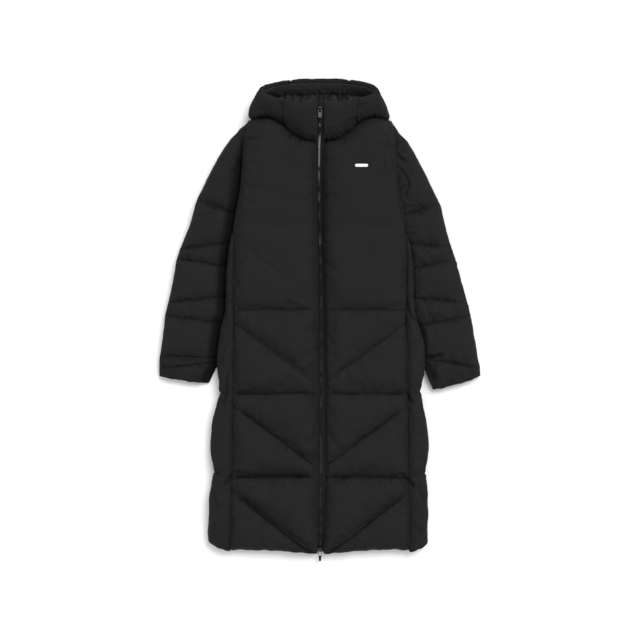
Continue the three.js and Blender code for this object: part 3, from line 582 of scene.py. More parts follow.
def fill_out(piece, held, pressure, growth, cap, sideways=1.0):
    """Lets the cloth swell and buckle between its sewn points, and keeps how far each point may go.

    sideways is the share of the movement along the floor that stays, which steadies an outline.
    """
    start = points_of(piece)
    group = piece.vertex_groups.new(name="sewn")
    held = np.round(held, 1)
    for weight in np.unique(held):
        if weight > 0:
            group.add(np.nonzero(held == weight)[0].tolist(), float(weight), "REPLACE")
    cloth = piece.modifiers.new("filled cloth", "CLOTH")
    settings = cloth.settings
    settings.quality = 4
    settings.mass = 0.25
    settings.tension_stiffness = 12
    settings.compression_stiffness = 8
    settings.shear_stiffness = 4
    settings.bending_stiffness = 0.4
    settings.tension_damping = 6
    settings.compression_damping = 6
    settings.shear_damping = 6
    settings.air_damping = 3
    settings.use_pressure = True
    settings.uniform_pressure_force = pressure
    settings.shrink_min = -growth
    settings.vertex_group_mass = "sewn"
    settings.pin_stiffness = 1
    settings.effector_weights.gravity = 0
    cloth.collision_settings.use_collision = False
    cloth.point_cache.frame_start = 1
    cloth.point_cache.frame_end = SIMULATED_FRAMES + 1
    scene = bpy.context.scene
    for number in range(1, SIMULATED_FRAMES + 1):
        scene.frame_set(number)
    settle(piece)
    scene.frame_set(1)
    moved = points_of(piece) - start
    reach = np.maximum(np.linalg.norm(moved, axis=1), 1e-9)
    allowed = cap * MM * np.tanh(reach / (cap * MM))
    moved *= (allowed / reach)[:, None]
    moved[:, :2] *= sideways
    move_points(piece, start + moved)


# Materials


class Amount:
    """A number inside a material. Sums and products of it add Math nodes."""

    def __init__(self, finish, socket):
        self.finish = finish
        self.socket = socket

    def combined(self, operation, other, other_first=False):
        pair = (other, self) if other_first else (self, other)
        return self.finish.amount("ShaderNodeMath", {"operation": operation}, dict(enumerate(pair)))

    def __add__(self, other):
        return self.combined("ADD", other)

    def __radd__(self, other):
        return self.combined("ADD", other, True)

    def __sub__(self, other):
        return self.combined("SUBTRACT", other)

    def __rsub__(self, other):
        return self.combined("SUBTRACT", other, True)

    def __mul__(self, other):
        return self.combined("MULTIPLY", other)

    def __rmul__(self, other):
        return self.combined("MULTIPLY", other, True)

    def sine(self):
        return self.finish.amount("ShaderNodeMath", {"operation": "SINE"}, {0: self})

    def clamped(self):
        return self.finish.amount("ShaderNodeClamp", {}, {"Value": self})

    def as_share(self):
        """A wave from -1 to 1 as a share from 0 to 1."""
        return (self * 0.5 + 0.5).clamped()


class Tree:
    """A node tree, and the single way that nodes are added to it."""

    def __init__(self, tree):
        self.tree = tree

    def connect(self, target, value):
        if isinstance(value, Amount):
            value = value.socket
        if isinstance(value, bpy.types.NodeSocket):
            self.tree.links.new(value, target)
        else:
            target.default_value = value

    def node(self, kind, settings=None, inputs=None):
        made = self.tree.nodes.new(kind)
        for name, value in (settings or {}).items():
            setattr(made, name, value)
        for name, value in (inputs or {}).items():
            self.connect(made.inputs[name], value)
        return made


class Finish(Tree):
    """One material."""

    def __init__(self, name):
        self.material = bpy.data.materials.new(name)
        self.material.use_nodes = True
        super().__init__(self.material.node_tree)
        self.shader = self.tree.nodes["Principled BSDF"]
        self.position = self.node("ShaderNodeTexCoord").outputs["Object"]

    def amount(self, kind, settings=None, inputs=None, output=0):
        return Amount(self, self.node(kind, settings, inputs).outputs[output])

    def noise(self, size_mm, detail=2.0, roughness=0.5):
        inputs = {
            "Vector": self.position,
            "Scale": 1 / (size_mm * MM),
            "Detail": detail,
            "Roughness": roughness,
        }
        return self.amount("ShaderNodeTexNoise", {}, inputs)

    def along(self, axis):
        split = self.node("ShaderNodeSeparateXYZ", {}, {"Vector": self.position})
        return Amount(self, split.outputs[axis])

    def ribs(self, pitch_mm, *axes):
        """Waves from -1 to 1, which follow each other along the sum of the axes."""
        total = self.along(axes[0])
        for axis in axes[1:]:
            total += self.along(axis)
        return (total * (2 * math.pi / (pitch_mm * MM))).sine()

    def mixed(self, share, first, second):
        mix = self.node("ShaderNodeMix", {"data_type": "RGBA"}, {"Factor": share})
        colours = [socket for socket in mix.inputs if socket.type == "RGBA"]
        for socket, colour in zip(colours, (first, second)):
            self.connect(socket, colour)
        return next(socket for socket in mix.outputs if socket.type == "RGBA")

    def raised(self, height, distance_mm, strength=1.0, under=None):
        inputs = {"Height": height, "Distance": distance_mm * MM, "Strength": strength}
        if under is not None:
            inputs["Normal"] = under
        return self.node("ShaderNodeBump", {}, inputs).outputs["Normal"]

    def shade(self, **sockets):
        for name, value in sockets.items():
            self.connect(self.shader.inputs[name.replace("_", " ")], value)
        return self.material


def grey(level, warmth=0.0):
    return (level * (1 + warmth), level, level * (1 - warmth), 1)


SHELL_TONE = 0.0133  # grey level of the black cloth

# Stretches of the zip with painted highlights, from and to a height on the coat in metres.
HIGHLIGHT_STRETCH = (0.412, 0.505)
GLINT = (0.521, 0.531)
NOSE = 0.5695  # above this height the upper slider's plating is lighter


def woven_height(finish, pitch_mm):
    """A plain weave: threads over and under in two directions."""
    return finish.ribs(pitch_mm, "X") * finish.ribs(pitch_mm, "Y", "Z")


def shell_cloth(name, tone):
    finish = Finish(name)
    weave = woven_height(finish, 0.9)
    crinkle = finish.noise(9, 3, 0.55)
    soft = finish.noise(34, 2, 0.5)
    shade = finish.noise(160, 2, 0.5)
    crease_and_shade = finish.amount("ShaderNodeAttribute", {"attribute_name": PAINTED_SHADE}, output="Fac")
    normal = finish.raised(weave, 0.05, 0.5)
    normal = finish.raised(crinkle, 0.4, 0.4, normal)
    normal = finish.raised(soft, 1.2, 0.4, normal)
    colour = finish.mixed(shade, grey(tone * 0.92), grey(tone * 1.08))
    # Painted shade: the cloth's colour goes towards near black where the mesh keeps painted shade.
    colour = finish.mixed((crease_and_shade * 0.85).clamped(), colour, grey(tone * 0.1))
    return finish.shade(
        Base_Color=colour,
        Roughness=0.72 + crinkle * 0.12,
        Specular_IOR_Level=0.06,
        Sheen_Weight=0.02,
        Sheen_Roughness=0.5,
        Normal=normal,
    )


def lining_cloth():
    finish = Finish("shiny black lining")
    weave = woven_height(finish, 0.5)
    crinkle = finish.noise(7, 3, 0.5)
    pleat = (finish.along("X") * (2 * math.pi / (17 * MM)) + finish.noise(42, 2) * 14).sine()
    normal = finish.raised(weave, 0.03, 0.4)
    normal = finish.raised(crinkle, 0.8, 0.6, normal)
    normal = finish.raised(pleat, 1.6, 0.8, normal)
    # Painted shade and light: the colour follows the pleats, darker in their troughs and lighter on their
    # crests.
    colour = finish.mixed(pleat.as_share(), grey(0.008), grey(0.017))
    # Painted light: above about 30 mm, where the lining rises in the hood's shade, it is painted lighter.
    painted_light = ((finish.along("Z") - 0.029) * 200.0).clamped()
    colour = finish.mixed(painted_light, colour, grey(0.04))
    return finish.shade(
        Base_Color=colour,
        Roughness=0.4 + crinkle * 0.12,
        Specular_IOR_Level=0.22,
        Normal=normal,
    )


def tape_cloth():
    finish = Finish("zip tape twill")
    twill = finish.ribs(1.1, "X", "Y")
    normal = finish.raised(twill, 0.12, 0.8)
    return finish.shade(
        Base_Color=finish.mixed(twill.as_share(), grey(0.008), grey(0.014)),
        Roughness=0.85,
        Specular_IOR_Level=0.1,
        Normal=normal,
    )


def gunmetal(name, darkest, brightest, lighter_from=1.0):
    """Plated metal, which is lighter above lighter_from, a height on the coat in metres."""
    finish = Finish(name)
    brushed = finish.noise(1.4, 3, 0.6)
    worn = finish.noise(5, 2, 0.5)
    plated = finish.mixed(worn, grey(darkest, 0.02), grey(brightest, 0.02))
    lighter_top = ((finish.along("Y") - lighter_from) * 600.0).clamped() * (worn * 0.4 + 0.6)
    return finish.shade(
        Base_Color=finish.mixed(lighter_top, plated, grey(0.22, 0.02)),
        Metallic=1.0,
        Roughness=0.2 + brushed * 0.16,
        Normal=finish.raised(brushed, 0.05, 0.3),
    )


def between(up, low, high, sharpness):
    """1 between two heights, and 0 beyond them."""
    return ((up - low) * sharpness).clamped() * ((high - up) * sharpness).clamped()


def bright_teeth():
    finish = Finish("polished zip teeth")
    worn = finish.noise(3.2, 2, 0.5)
    stretch = (finish.noise(34, 1, 0.4) * 7.0 - 3.3).clamped()
    up = finish.along("Y")
    towards_top = ((up - 0.12) * 3.0).clamped()
    # Painted highlights: the teeth's colour is made bright in set stretches, in a glint and in random
    # stretches towards the top, in place of reflections; a little of it is wear.
    highlighted = between(up, *HIGHLIGHT_STRETCH, 90.0) * (worn * 0.7 + 0.5)
    glint = between(up, *GLINT, 300.0) * 0.5
    faint_highlights_and_wear = stretch * (towards_top * 0.4 + 0.12) * ((0.5 - up) * 60.0).clamped() + worn * 0.08
    bright = (highlighted + glint + faint_highlights_and_wear).clamped()
    return finish.shade(
        Base_Color=finish.mixed(bright, grey(0.028, 0.02), grey(0.62, 0.02)),
        Metallic=1.0,
        Roughness=0.22 + worn * 0.2,
    )


def thread():
    finish = Finish("black sewing thread")
    ply = finish.ribs(0.6, "X", "Y")
    return finish.shade(
        Base_Color=finish.mixed(ply.as_share(), grey(0.001), grey(0.004)),
        Roughness=0.8,
        Specular_IOR_Level=0.05,
        Normal=finish.raised(ply, 0.08, 0.6),
    )


def white_film():
    finish = Finish("plain white film")
    return finish.shade(
        Base_Color=finish.mixed(finish.noise(2, 3), grey(0.72), grey(0.82)),
        Roughness=0.42 + finish.noise(6) * 0.1,
        Normal=finish.raised(finish.noise(0.8, 3), 0.04, 0.4),
    )


def black_cord():
    finish = Finish("black cord end")
    ribs = finish.ribs(1.6, "Y")
    return finish.shade(
        Base_Color=finish.mixed(ribs.as_share(), grey(0.002), grey(0.006)),
        Roughness=0.6,
        Specular_IOR_Level=0.15,
        Normal=finish.raised(ribs, 0.15, 0.7),
    )


def pale_paper():
    finish = Finish("pale studio floor")
    grain = finish.noise(3, 3, 0.5)
    return finish.shade(
        Base_Color=finish.mixed(grain, grey(0.93), grey(0.96)),
        Roughness=0.85,
        Specular_IOR_Level=0.1,
        Normal=finish.raised(grain, 0.05, 0.2),
    )


SHELL = shell_cloth("matte black shell cloth", SHELL_TONE)
# Painted light: the facing lies in shade inside the hood, so it is a copy of the shell cloth painted 2.6
# times lighter.
FACING_PAINTED_LIGHTER = shell_cloth("matte black facing cloth", SHELL_TONE * 2.6)
LINING = lining_cloth()
TAPE = tape_cloth()
GUNMETAL = gunmetal("gunmetal plating", 0.09, 0.22)
DARK_METAL = gunmetal("dark slider plating", 0.008, 0.022, lighter_from=NOSE)
TEETH = bright_teeth()
THREAD = thread()
FILM = white_film()
CORD = black_cord()


def dress(piece, material, body="coat"):
    """Gives a finished piece its material, its shading and the body that it rides on."""
    piece.data.materials.clear()
    piece.data.materials.append(material)
    piece.data.polygons.foreach_set("use_smooth", [True] * len(piece.data.polygons))
    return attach(piece, body)


def dress_padded(piece, node, material=SHELL):
    """Finishes a padded piece, which takes its CAD node's place."""
    dress(piece, material)
    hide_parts(node)
    return piece


def thicken(piece, name, thickness_mm):
    """Gives a thin piece its thickness, downwards from its upper face."""
    wall = piece.modifiers.new(name, "SOLIDIFY")
    wall.thickness = thickness_mm * MM
    wall.offset = -1
    return settle(piece)


# Soft pieces


def held_near(points, lines, reach_mm, firm=None):
    """1 on the sewn lines, 0 from reach_mm away. firm says how hard every line holds."""
    held = np.zeros(len(points))
    for line in lines:
        distance, _, _ = line.near(points[:, :2])
        strength = line.pressed if firm is None else firm
        held = np.maximum(held, strength * (1 - ramp(distance / MM, 1.5, reach_mm)))
    return np.clip(held, 0, 1)


def lay_folds(piece, folds, side):
    """Presses soft folds into the upper face, each with a low ridge beside it."""
    points = points_of(piece)
    facing = normals_of(piece)
    shift = np.zeros(len(points))
    dark = np.zeros(len(points))
    for fold in folds:
        line = SewnLine([place(side, *p) for p in fold["line"]])
        distance, along, beside = line.near(points[:, :2])
        share = distance / (fold["wide"] * MM)
        ends = np.sin(np.pi * np.clip(along / line.length(), 0, 1)) ** 0.6
        valley = -np.exp(-(share**2)) * fold["deep"]
        ridge = np.exp(-((share - 1.9) ** 2)) * fold["deep"] * np.where(beside > 0, 0.9, 0.3)
        shown = facing[:, 2] > 0.1
        shift += np.where(shown, (valley + ridge) * ends, 0)
        # Painted shade: each fold's valley is darkened in the cloth's colour.
        depth = np.exp(-((share * 1.6) ** 2)) * fold["deep"] / 5
        dark = np.maximum(dark, np.where(shown, depth * ends, 0))
    points += facing * (shift * MM)[:, None]
    move_points(piece, points)
    paint_shade(piece, dark)


def thin_underside(piece, height):
    """Joins the small flat faces under a piece, which nothing shows, into one."""
    with edited(piece) as shape:
        flat = [f for f in shape.faces if f.normal.z < -0.999 and f.calc_center_median().z < height]
        bmesh.ops.dissolve_faces(shape, faces=flat, use_verts=True)


def tuck(piece, lines, reach_mm, by_mm):
    """Pushes a rim out across its sewn line, so that it lies against or under its neighbour."""
    points = points_of(piece)
    middle = ((points.min(axis=0) + points.max(axis=0)) / 2)[:2]
    for line in lines:
        distance, _, _ = line.near(points[:, :2])
        outward = line.outward(middle)[line.piece_of(points[:, :2])]
        push = (1 - ramp(distance / MM, 0.5, reach_mm)) * by_mm * MM
        points[:, :2] += outward * push[:, None]
    move_points(piece, points)


def draw_to_zip(piece, side, reach_mm=60):
    """Shifts the cloth beside the zip to where it really ends: nearer on one side than on the other."""
    points = points_of(piece)
    from_zip, below = measured(points, side)
    near = 1 - ramp(from_zip, ZIP_EDGE, reach_mm)
    drift = np.array([zip_drift(b) for b in below])
    closed = FRONT_EDGE[side] - ZIP_EDGE - 2.5 * ramp(below, 1150, 1182)
    points[:, 0] += near * (SIGN[side] * closed + drift) * MM
    move_points(piece, points)


def shape_hem(piece, side, rise_mm, seed):
    """Lifts the hem between the zip and the seam, and makes it slightly wavy."""
    points = points_of(piece)
    from_zip, below = measured(points, side)
    across = np.clip((from_zip - ZIP_EDGE) / (SIDE_SEAM[-1]["from_zip"] - ZIP_EDGE), 0, 1)
    lift = rise_mm * np.sin(math.pi * across) + 1.6 * ripple(from_zip / 44, seed)
    points[:, 1] += ramp(below, 1130, 1172) * lift * MM
    move_points(piece, points)


def drop_panel_hem(piece, side):
    """Brings the side panel's hem down to the front's at the seam, from its own outer corner."""
    points = points_of(piece)
    from_zip, below = measured(points, side)
    seam = SIDE_SEAM[-1]["from_zip"]
    across = np.clip((from_zip - seam) / (OUTLINE[-1][side] - seam), 0, 1)
    drop = 12 * (1 - across) ** 0.8 + 1.4 * ripple(from_zip / 30, 8.0 + SIGN[side])
    points[:, 1] -= ramp(below, 1105, 1156) * drop * MM
    move_points(piece, points)


WEAK_LINE = 0.2  # how pressed a quilting line is at most that the cloth swells over


def front(side):
    node = f"front_{side}"
    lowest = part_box(node)[0].z
    quilting = quilt_lines(side)
    edges = [side_seam_line(side), zip_edge_line(side), neck_line(side), hem_line(side)]
    piece = remesh(merged_copy(node, f"{node}_cloth"), 5.2)
    points = points_of(piece)
    under = 1 - ramp(points[:, 2], lowest + 2 * MM, lowest + 5 * MM)
    rim = held_near(points, edges, 7, firm=1)
    soften(piece, 12, np.maximum(under, rim * 0.92))
    points = points_of(piece)
    rim = held_near(points, edges, 9, firm=1)
    firm = [line for line in quilting if line.pressed > WEAK_LINE]
    held = np.maximum.reduce([under, rim, held_near(points, firm, 7)])
    fill_out(piece, held, pressure=1.8, growth=0.04, cap=7)
    weak = [line for line in quilting if line.pressed <= WEAK_LINE]
    kept = 1 - held_near(points_of(piece), weak, 42, firm=0.9)
    soften(piece, 30, np.maximum.reduce([kept, under, rim]))
    crumple(piece, 1.2, 85, 3.0 + SIGN[side], under)
    lay_folds(piece, FOLDS[node], side)
    tuck(piece, [edges[0], edges[2]], 8, 3.2)
    draw_to_zip(piece, side)
    shape_hem(piece, side, 4.0, 5.0 + SIGN[side])
    refine(piece)
    sew(piece, quilting, groove=(3.0, 2.6), height=0.95, roll=ROLL[side])
    sew(piece, edges[:1], groove=(0.6, 2.4), height=0.7, stroke=0.28)
    sew(piece, edges[1:], groove=(0.3, 3), height=0.7, stroke=0.1)
    thin_underside(piece, lowest + 1.5 * MM)
    return dress_padded(piece, node)


def side_panel(side):
    node = f"side_panel_{side}"
    quilting = []
    for number, row in enumerate(QUILT):
        start = place(side, seam_from_zip(row["level"]) - 4, row["level"])
        end = place(side, PAST_OUTLINE, row["at_outline"])
        quilting.append(SewnLine([start, end], row["pressed"], row["pressed"], 60 + number))
    edges = [side_seam_line(side, start=300)]
    piece = remesh(merged_copy(node, f"{node}_cloth"), 4.6)
    points = points_of(piece)
    from_zip, below = measured(points, side)
    seam = np.array([seam_from_zip(b) for b in below])
    under = 1 - ramp(points[:, 2], 1 * MM, 5 * MM)
    hidden = 1 - ramp(from_zip - seam, -3, 3)
    inside = np.where(normals_of(piece)[:, 0] * SIGN[side] < -0.3, 1.0, 0.0)
    at_hem = ramp(below, 1140, 1158)
    soften(piece, 8, np.maximum.reduce([under, held_near(points, edges, 4, firm=1) * 0.7, at_hem * 0.9]))
    points = points_of(piece)
    rim = held_near(points, edges, 7, firm=1)
    held = np.maximum.reduce([under, hidden, inside, rim, at_hem, held_near(points, quilting, 7)])
    fill_out(piece, held, pressure=1.4, growth=0.05, cap=5, sideways=0.35)
    crumple(piece, 1.5, 60, 9.0 + SIGN[side], under)
    lay_folds(piece, FOLDS[node], side)
    drop_panel_hem(piece, side)
    tuck(piece, edges, 6, 1.8)
    refine(piece)
    sew(piece, quilting, up=False, groove=(1.8, 3.2), height=1.1, floor=0, stroke=0.3)
    sew(piece, edges, groove=(0.4, 2.2), height=0.9, floor=0, stroke=0.12)
    return dress_padded(piece, node)


# Sleeves, lofted from the same sections as their solids, with an open cuff

SLEEVE_STEP = 4.6  # mm between two sections
ARMHOLE_HEIGHT = 46  # mm, where front and sleeve are sewn together
SLEEVE_QUILT = {"deep": 10, "reach": 27}
INNER_ROUNDING = {"left": 3.4, "right": 1.8}  # how full each sleeve stays near the body, 2 for an ellipse
INNER_SINK = {"left": 0.0, "right": 0.6}  # how far each sleeve's armhole edge sinks below the front's
INNER_FALL = {"left": 0.0, "right": 0.62}  # how far each sleeve's inner edge drops towards the floor, which also sets how much shadow is painted there
FALL_REACH = 34  # mm
UNDERLAP = 4.5  # mm that a sleeve lies in under the rounded side of the body
LEAVES_BODY = 676  # mm below the shoulder, where a sleeve's inner edge leaves the body's outline
# The cuff's edge and its lining: how far back up the sleeve each ring lies, and how far in, both in mm.
CUFF_TURN = [(-1.2, 0.6), (-1.6, 1.6), (-0.6, 2.6), (4, 3.4), (14, 3.6), (34, 4)]
INNER_POINT = 39  # which point of each ring lies at the inner edge


def hump(share, power):
    return (1 - np.abs(2 * share - 1) ** power) ** (1 / power)


def sleeve_table(side):
    """The sleeve's rows with every column worked out: outer and inner end, thickness, how sewn."""
    rows = []
    for number, (outer, outer_below, inner_below, thick, quilted) in enumerate(SLEEVES[side]):
        if number == len(SLEEVES[side]) - 1:
            inner = CUFF_INNER[side]
        elif inner_below < UNDERARM:
            inner = seam_from_zip(inner_below) + 0.4
        else:
            inner = outline_from_zip[side](inner_below) - UNDERLAP
        sewn = 1 - ramp(inner_below, UNDERARM - 8, UNDERARM + 40)
        rows.append((outer, outer_below, inner, inner_below, thick, sewn, quilted))
    return np.array(rows, float)


def sleeve_line(row, shares=(0, 1)):
    """A straight line across the sleeve at one of its rows."""
    return [(row[0] + (row[2] - row[0]) * share, row[1] + (row[3] - row[1]) * share) for share in shares]


def sleeve_quilting(side):
    rows = sleeve_table(side)
    lines = []
    for number, row in enumerate(rows):
        if row[6]:
            ends = [place(side, *p) for p in sleeve_line(row, (-0.06, 0.3, 0.7, 1.06))]
            width = math.hypot(row[0] - row[2], row[1] - row[3])
            fades = (max((1.15 - row[6]) * width, 12), 2)
            lines.append(SewnLine(ends, 0.85, 1.0, 70 + number * 3.7 + SIGN[side], fades))
    return lines


def pressed_in(x, below, shares, quilted):
    """How far the quilting lines press a ring's points in, in mm."""
    deepest = np.zeros(len(shares))
    for start, end, shown in quilted:
        run = np.subtract(end, start)
        offset = np.stack([x - start[0], below - start[1]])
        away = np.abs(run[0] * offset[1] - run[1] * offset[0]) / np.hypot(*run)
        share = 1 - np.clip(away / SLEEVE_QUILT["reach"], 0, 1)
        deep = SLEEVE_QUILT["deep"] * ramp(shares, 0.6 - shown, 1.15 - shown)
        deepest = np.maximum(deepest, deep * (1 - np.sqrt(1 - share**2)))
    return deepest


def sleeve_sections(side):
    """Rings of points, from the neck to the cuff's edge."""
    rows = sleeve_table(side)
    quilted = [(*sleeve_line(row), row[6]) for row in rows if row[6]]
    top = (1 - np.cos(np.linspace(0, np.pi, INNER_POINT + 1))) / 2
    low = (1 + np.cos(np.linspace(0, np.pi, 24)[:-1])) / 2
    shares = np.concatenate([top, low[1:]])
    on_top = np.arange(len(shares)) < len(top)
    rings = []
    for number, (first, second) in enumerate(zip(rows[:-1], rows[1:])):
        length = max(np.hypot(*(second[:2] - first[:2])), np.hypot(*(second[2:4] - first[2:4])))
        count = max(int(round(length / SLEEVE_STEP)), 1)
        last_pair = number == len(rows) - 2
        for t in np.linspace(0, 1, count, endpoint=False).tolist() + ([1.0] if last_pair else []):
            row = first + (second - first) * t
            outer, outer_below, inner, inner_below, thick, sewn, _ = row
            if inner_below < UNDERARM:
                inner = seam_from_zip(inner_below) + 0.4
            elif inner_below < LEAVES_BODY:
                inner = outline_from_zip[side](inner_below) - UNDERLAP
            x = outer + (inner - outer) * shares
            below = outer_below + (inner_below - outer_below) * shares
            middle = thick * 0.45
            sink = INNER_SINK[side] * ramp(inner_below, 60, 140)
            edge_top = min((ARMHOLE_HEIGHT - middle) / (thick - middle), 0.86) * (1 - sink)
            base = np.where(shares > 0.5, edge_top * sewn, 0)
            from_inner = (1 - shares) * math.hypot(outer - inner, outer_below - inner_below)
            sunk = (1 - ramp(from_inner, 0, FALL_REACH)) * ramp(inner_below, 60, 150) * INNER_FALL[side]
            rounding = np.where(shares > 0.5, INNER_ROUNDING[side], 2.5)
            rise = base + (1 - base) * hump(shares, rounding)
            squeeze = 1 - 0.2 * (t if last_pair else 0)
            above = middle * (1 - sunk) + (thick - middle) * rise * squeeze * (1 - 0.7 * sunk)
            above -= pressed_in(x, below, shares, quilted) * hump(shares, 1.5)
            flat = 1 - hump(shares, 4)
            beneath = middle * 0.9 * (1 - sunk) * np.where(shares > 0.5, flat * (1 - sewn), flat)
            z = np.where(on_top, above, np.minimum(beneath, middle * (1 - sunk) - 1))
            flat_points = [place(side, *p) for p in zip(x, below)]
            rings.append(np.column_stack([np.array(flat_points), z * MM]))
    return rings


def turned_cuff(last, before):
    """The cuff's rounded edge and the lining that runs back up inside it."""
    inward = before.mean(axis=0) - last.mean(axis=0)
    inward = inward / np.linalg.norm(inward)
    middle = last.mean(axis=0)
    span = last.max(axis=0) - last.min(axis=0)
    rings = []
    width = math.hypot(span[0], span[1])
    for back, wall in CUFF_TURN:
        shrink = 1 - 2 * wall * MM / np.array([width, width, span[2]])
        rings.append(middle + (last - middle) * shrink + inward * back * MM)
    return rings


def tube(name, rings):
    """A closed skin through rings of equal length."""
    size = len(rings[0])
    points = np.concatenate(rings)
    faces = []
    for j in range(len(rings) - 1):
        for i in range(size):
            a = j * size + i
            b = j * size + (i + 1) % size
            faces.append((a, b, b + size, a + size))
    faces.append(tuple(reversed(range(size))))
    faces.append(tuple(range((len(rings) - 1) * size, len(rings) * size)))
    piece = from_geometry(name, points, faces)
    with edited(piece) as shape:
        bmesh.ops.recalc_face_normals(shape, faces=shape.faces)
    return piece


def bulge_cuff(piece, ring_of, outside):
    """The cuff's edge bows out a little between its corners and is slightly wavy."""
    points = points_of(piece)
    edge = points[ring_of == outside - 1]
    span = edge[:, 0].max() - edge[:, 0].min()
    share = np.clip((points[:, 0] - edge[:, 0].min()) / span, 0, 1)
    near = ramp(ring_of.astype(float), outside - 8, outside - 1)
    bow = 4.2 * np.sin(math.pi * share) ** 0.7 + 1.3 * ripple(share * 4.0, span)
    points[:, 1] -= near * bow * MM
    move_points(piece, points)


def paint_fall_shadow(piece, side, ring_of, size):
    """Paints the body's shadow into the cloth's colour where the sleeve drops away towards the body."""
    points = points_of(piece)
    inner = points[ring_of * size + INNER_POINT]
    from_inner = np.hypot(*(points - inner)[:, :2].T) / MM
    below = (shoulder_y - inner[:, 1]) / MM
    width = 16 + 14 * ramp(below, 80, 170)
    amount = (1 - ramp(from_inner, 0.5 * width, 1.2 * width)) * ramp(below, 40, 80)
    paint_shade(piece, amount * 1.3 * INNER_FALL[side])


def sleeve(side):
    node = f"sleeve_{side}"
    rings = sleeve_sections(side)
    outside = len(rings)
    cuff = turned_cuff(rings[-1], rings[-4])
    piece = tube(f"{node}_cloth", rings + cuff)
    size = len(rings[0])
    ring_of = np.minimum(np.arange(len(piece.data.vertices)) // size, outside + len(cuff) - 1)
    points = points_of(piece)
    turned = (ring_of >= outside - 1).astype(float)
    under = 1 - ramp(points[:, 2], 0.5 * MM, 4 * MM)
    from_zip, below = measured(points, side)
    seam = np.array([seam_from_zip(b) for b in below])
    armhole = np.where(below < UNDERARM + 6, 1 - ramp(from_zip - seam, 2, 8), 0)
    neck_end = 1 - ramp(ring_of.astype(float), 1, 4)
    soften(piece, 3, np.maximum.reduce([turned, under, armhole]))
    points = points_of(piece)
    quilting = sleeve_quilting(side)
    cuff_band = 0.5 * ramp(ring_of.astype(float), outside - 7, outside - 2)
    firm = [turned, under * 0.9, armhole, neck_end, cuff_band, held_near(points, quilting, 8)]
    held = np.maximum.reduce(firm)
    fill_out(piece, held, pressure=1.5, growth=0.06, cap=6, sideways=0.2)
    crumple(piece, 1.6, 62, 17.0 + SIGN[side], np.maximum(turned, under))
    bulge_cuff(piece, ring_of, outside)
    paint_fall_shadow(piece, side, ring_of, size)
    lay_folds(piece, FOLDS[node], side)
    refine(piece)
    hem = [tuple(place(side, *p)) for p in sleeve_line(sleeve_table(side)[-1], (0, 0.33, 0.66, 1))]
    seam_points = [place(side, seam_from_zip(b) + 2, b) for b in np.linspace(14, UNDERARM, 24)]
    sew(piece, quilting, groove=(3.0, 2.4), height=1.2, floor=0, stroke=0.5, roll=2.4)
    edges = [SewnLine(hem, 0.2, 1.1, 12.0), SewnLine(seam_points, 0.5, 1.1, 5.0)]
    sew(piece, edges, groove=(0.4, 3), height=1.0, floor=0, stroke=0.15)
    return dress_padded(piece, node)


# Collar and hood


def hood_seam_line(side):
    return SewnLine([place(side, *p) for p in HOOD_SEAM], 0.5, 0.9, 81.0 + SIGN[side])


def crown_seam_line(side):
    return SewnLine([place(side, *p) for p in CROWN_SEAM], 0.3, 0.5, 87.0 + SIGN[side])


def hood_panel(node, sides, step, seed):
    """A stiff padded wall of the hood, gathered where it is sewn to its neighbours and to the neck."""
    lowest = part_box(node)[0].z
    edges = [neck_line(side) for side in sides]
    if node != "hood_centre":
        edges += [hood_seam_line(side) for side in sides]
    if not node.startswith("collar"):
        edges += [crown_seam_line(side) for side in sides]
    piece = remesh(merged_copy(node, f"{node}_cloth"), step)
    points = points_of(piece)
    base = 1 - ramp(points[:, 2], lowest + 1 * MM, lowest + 6 * MM)
    seams = held_near(points, edges, 4, firm=1)
    soften(piece, 8, np.maximum(base, seams * 0.7))
    points = points_of(piece)
    facing = normals_of(piece)
    centre = np.array([zip_x, shoulder_y + 0.03])
    towards = centre - points[:, :2]
    towards /= np.linalg.norm(towards, axis=1)[:, None]
    inner = ramp((facing[:, :2] * towards).sum(axis=1), 0.1, 0.5)
    held = np.maximum.reduce([base, inner, held_near(points, edges, 7, firm=1)])
    fill_out(piece, held, pressure=1.2, growth=0.05, cap=4, sideways=0.5)
    crumple(piece, 1.4, 48, seed, inner)
    if node.startswith("collar"):
        draw_to_zip(piece, sides[0], 45)
    tuck(piece, edges[len(sides):], 6, 1.4)
    refine(piece)
    sew(piece, edges[: len(sides)], up=False, groove=(1.2, 3), height=1.3, floor=0)
    sew(piece, edges[len(sides):], up=False, groove=(0.2, 2.4), height=0.8, floor=0, stroke=0.12)
    return dress_padded(piece, node)


def folded_crown():
    node = "hood_crown_folded"
    piece = remesh(merged_copy(node, f"{node}_cloth"), 5)
    points = points_of(piece)
    soften(piece, 4, 1 - ramp(points[:, 2], 1 * MM, 4 * MM))
    crumple(piece, 2.2, 40, 51.0, 1 - ramp(points_of(piece)[:, 2], 1 * MM, 6 * MM))
    refine(piece)
    return dress_padded(piece, node, LINING)


def back():
    node = "back_panel"
    piece = remesh(merged_copy(node, f"{node}_cloth"), 7)
    points = points_of(piece)
    soften(piece, 4, 1 - ramp(points[:, 2], 0.5 * MM, 3 * MM))
    lines = []
    for number, row in enumerate(QUILT):
        ends = [place(side, PAST_OUTLINE, row["level"]) for side in ("right", "left")]
        lines.append(SewnLine(ends, 1.0, 0.4, 100 + number))
    sew(piece, lines, up=False, groove=(2.4, 6), height=0.5, floor=0)
    return dress_padded(piece, node)


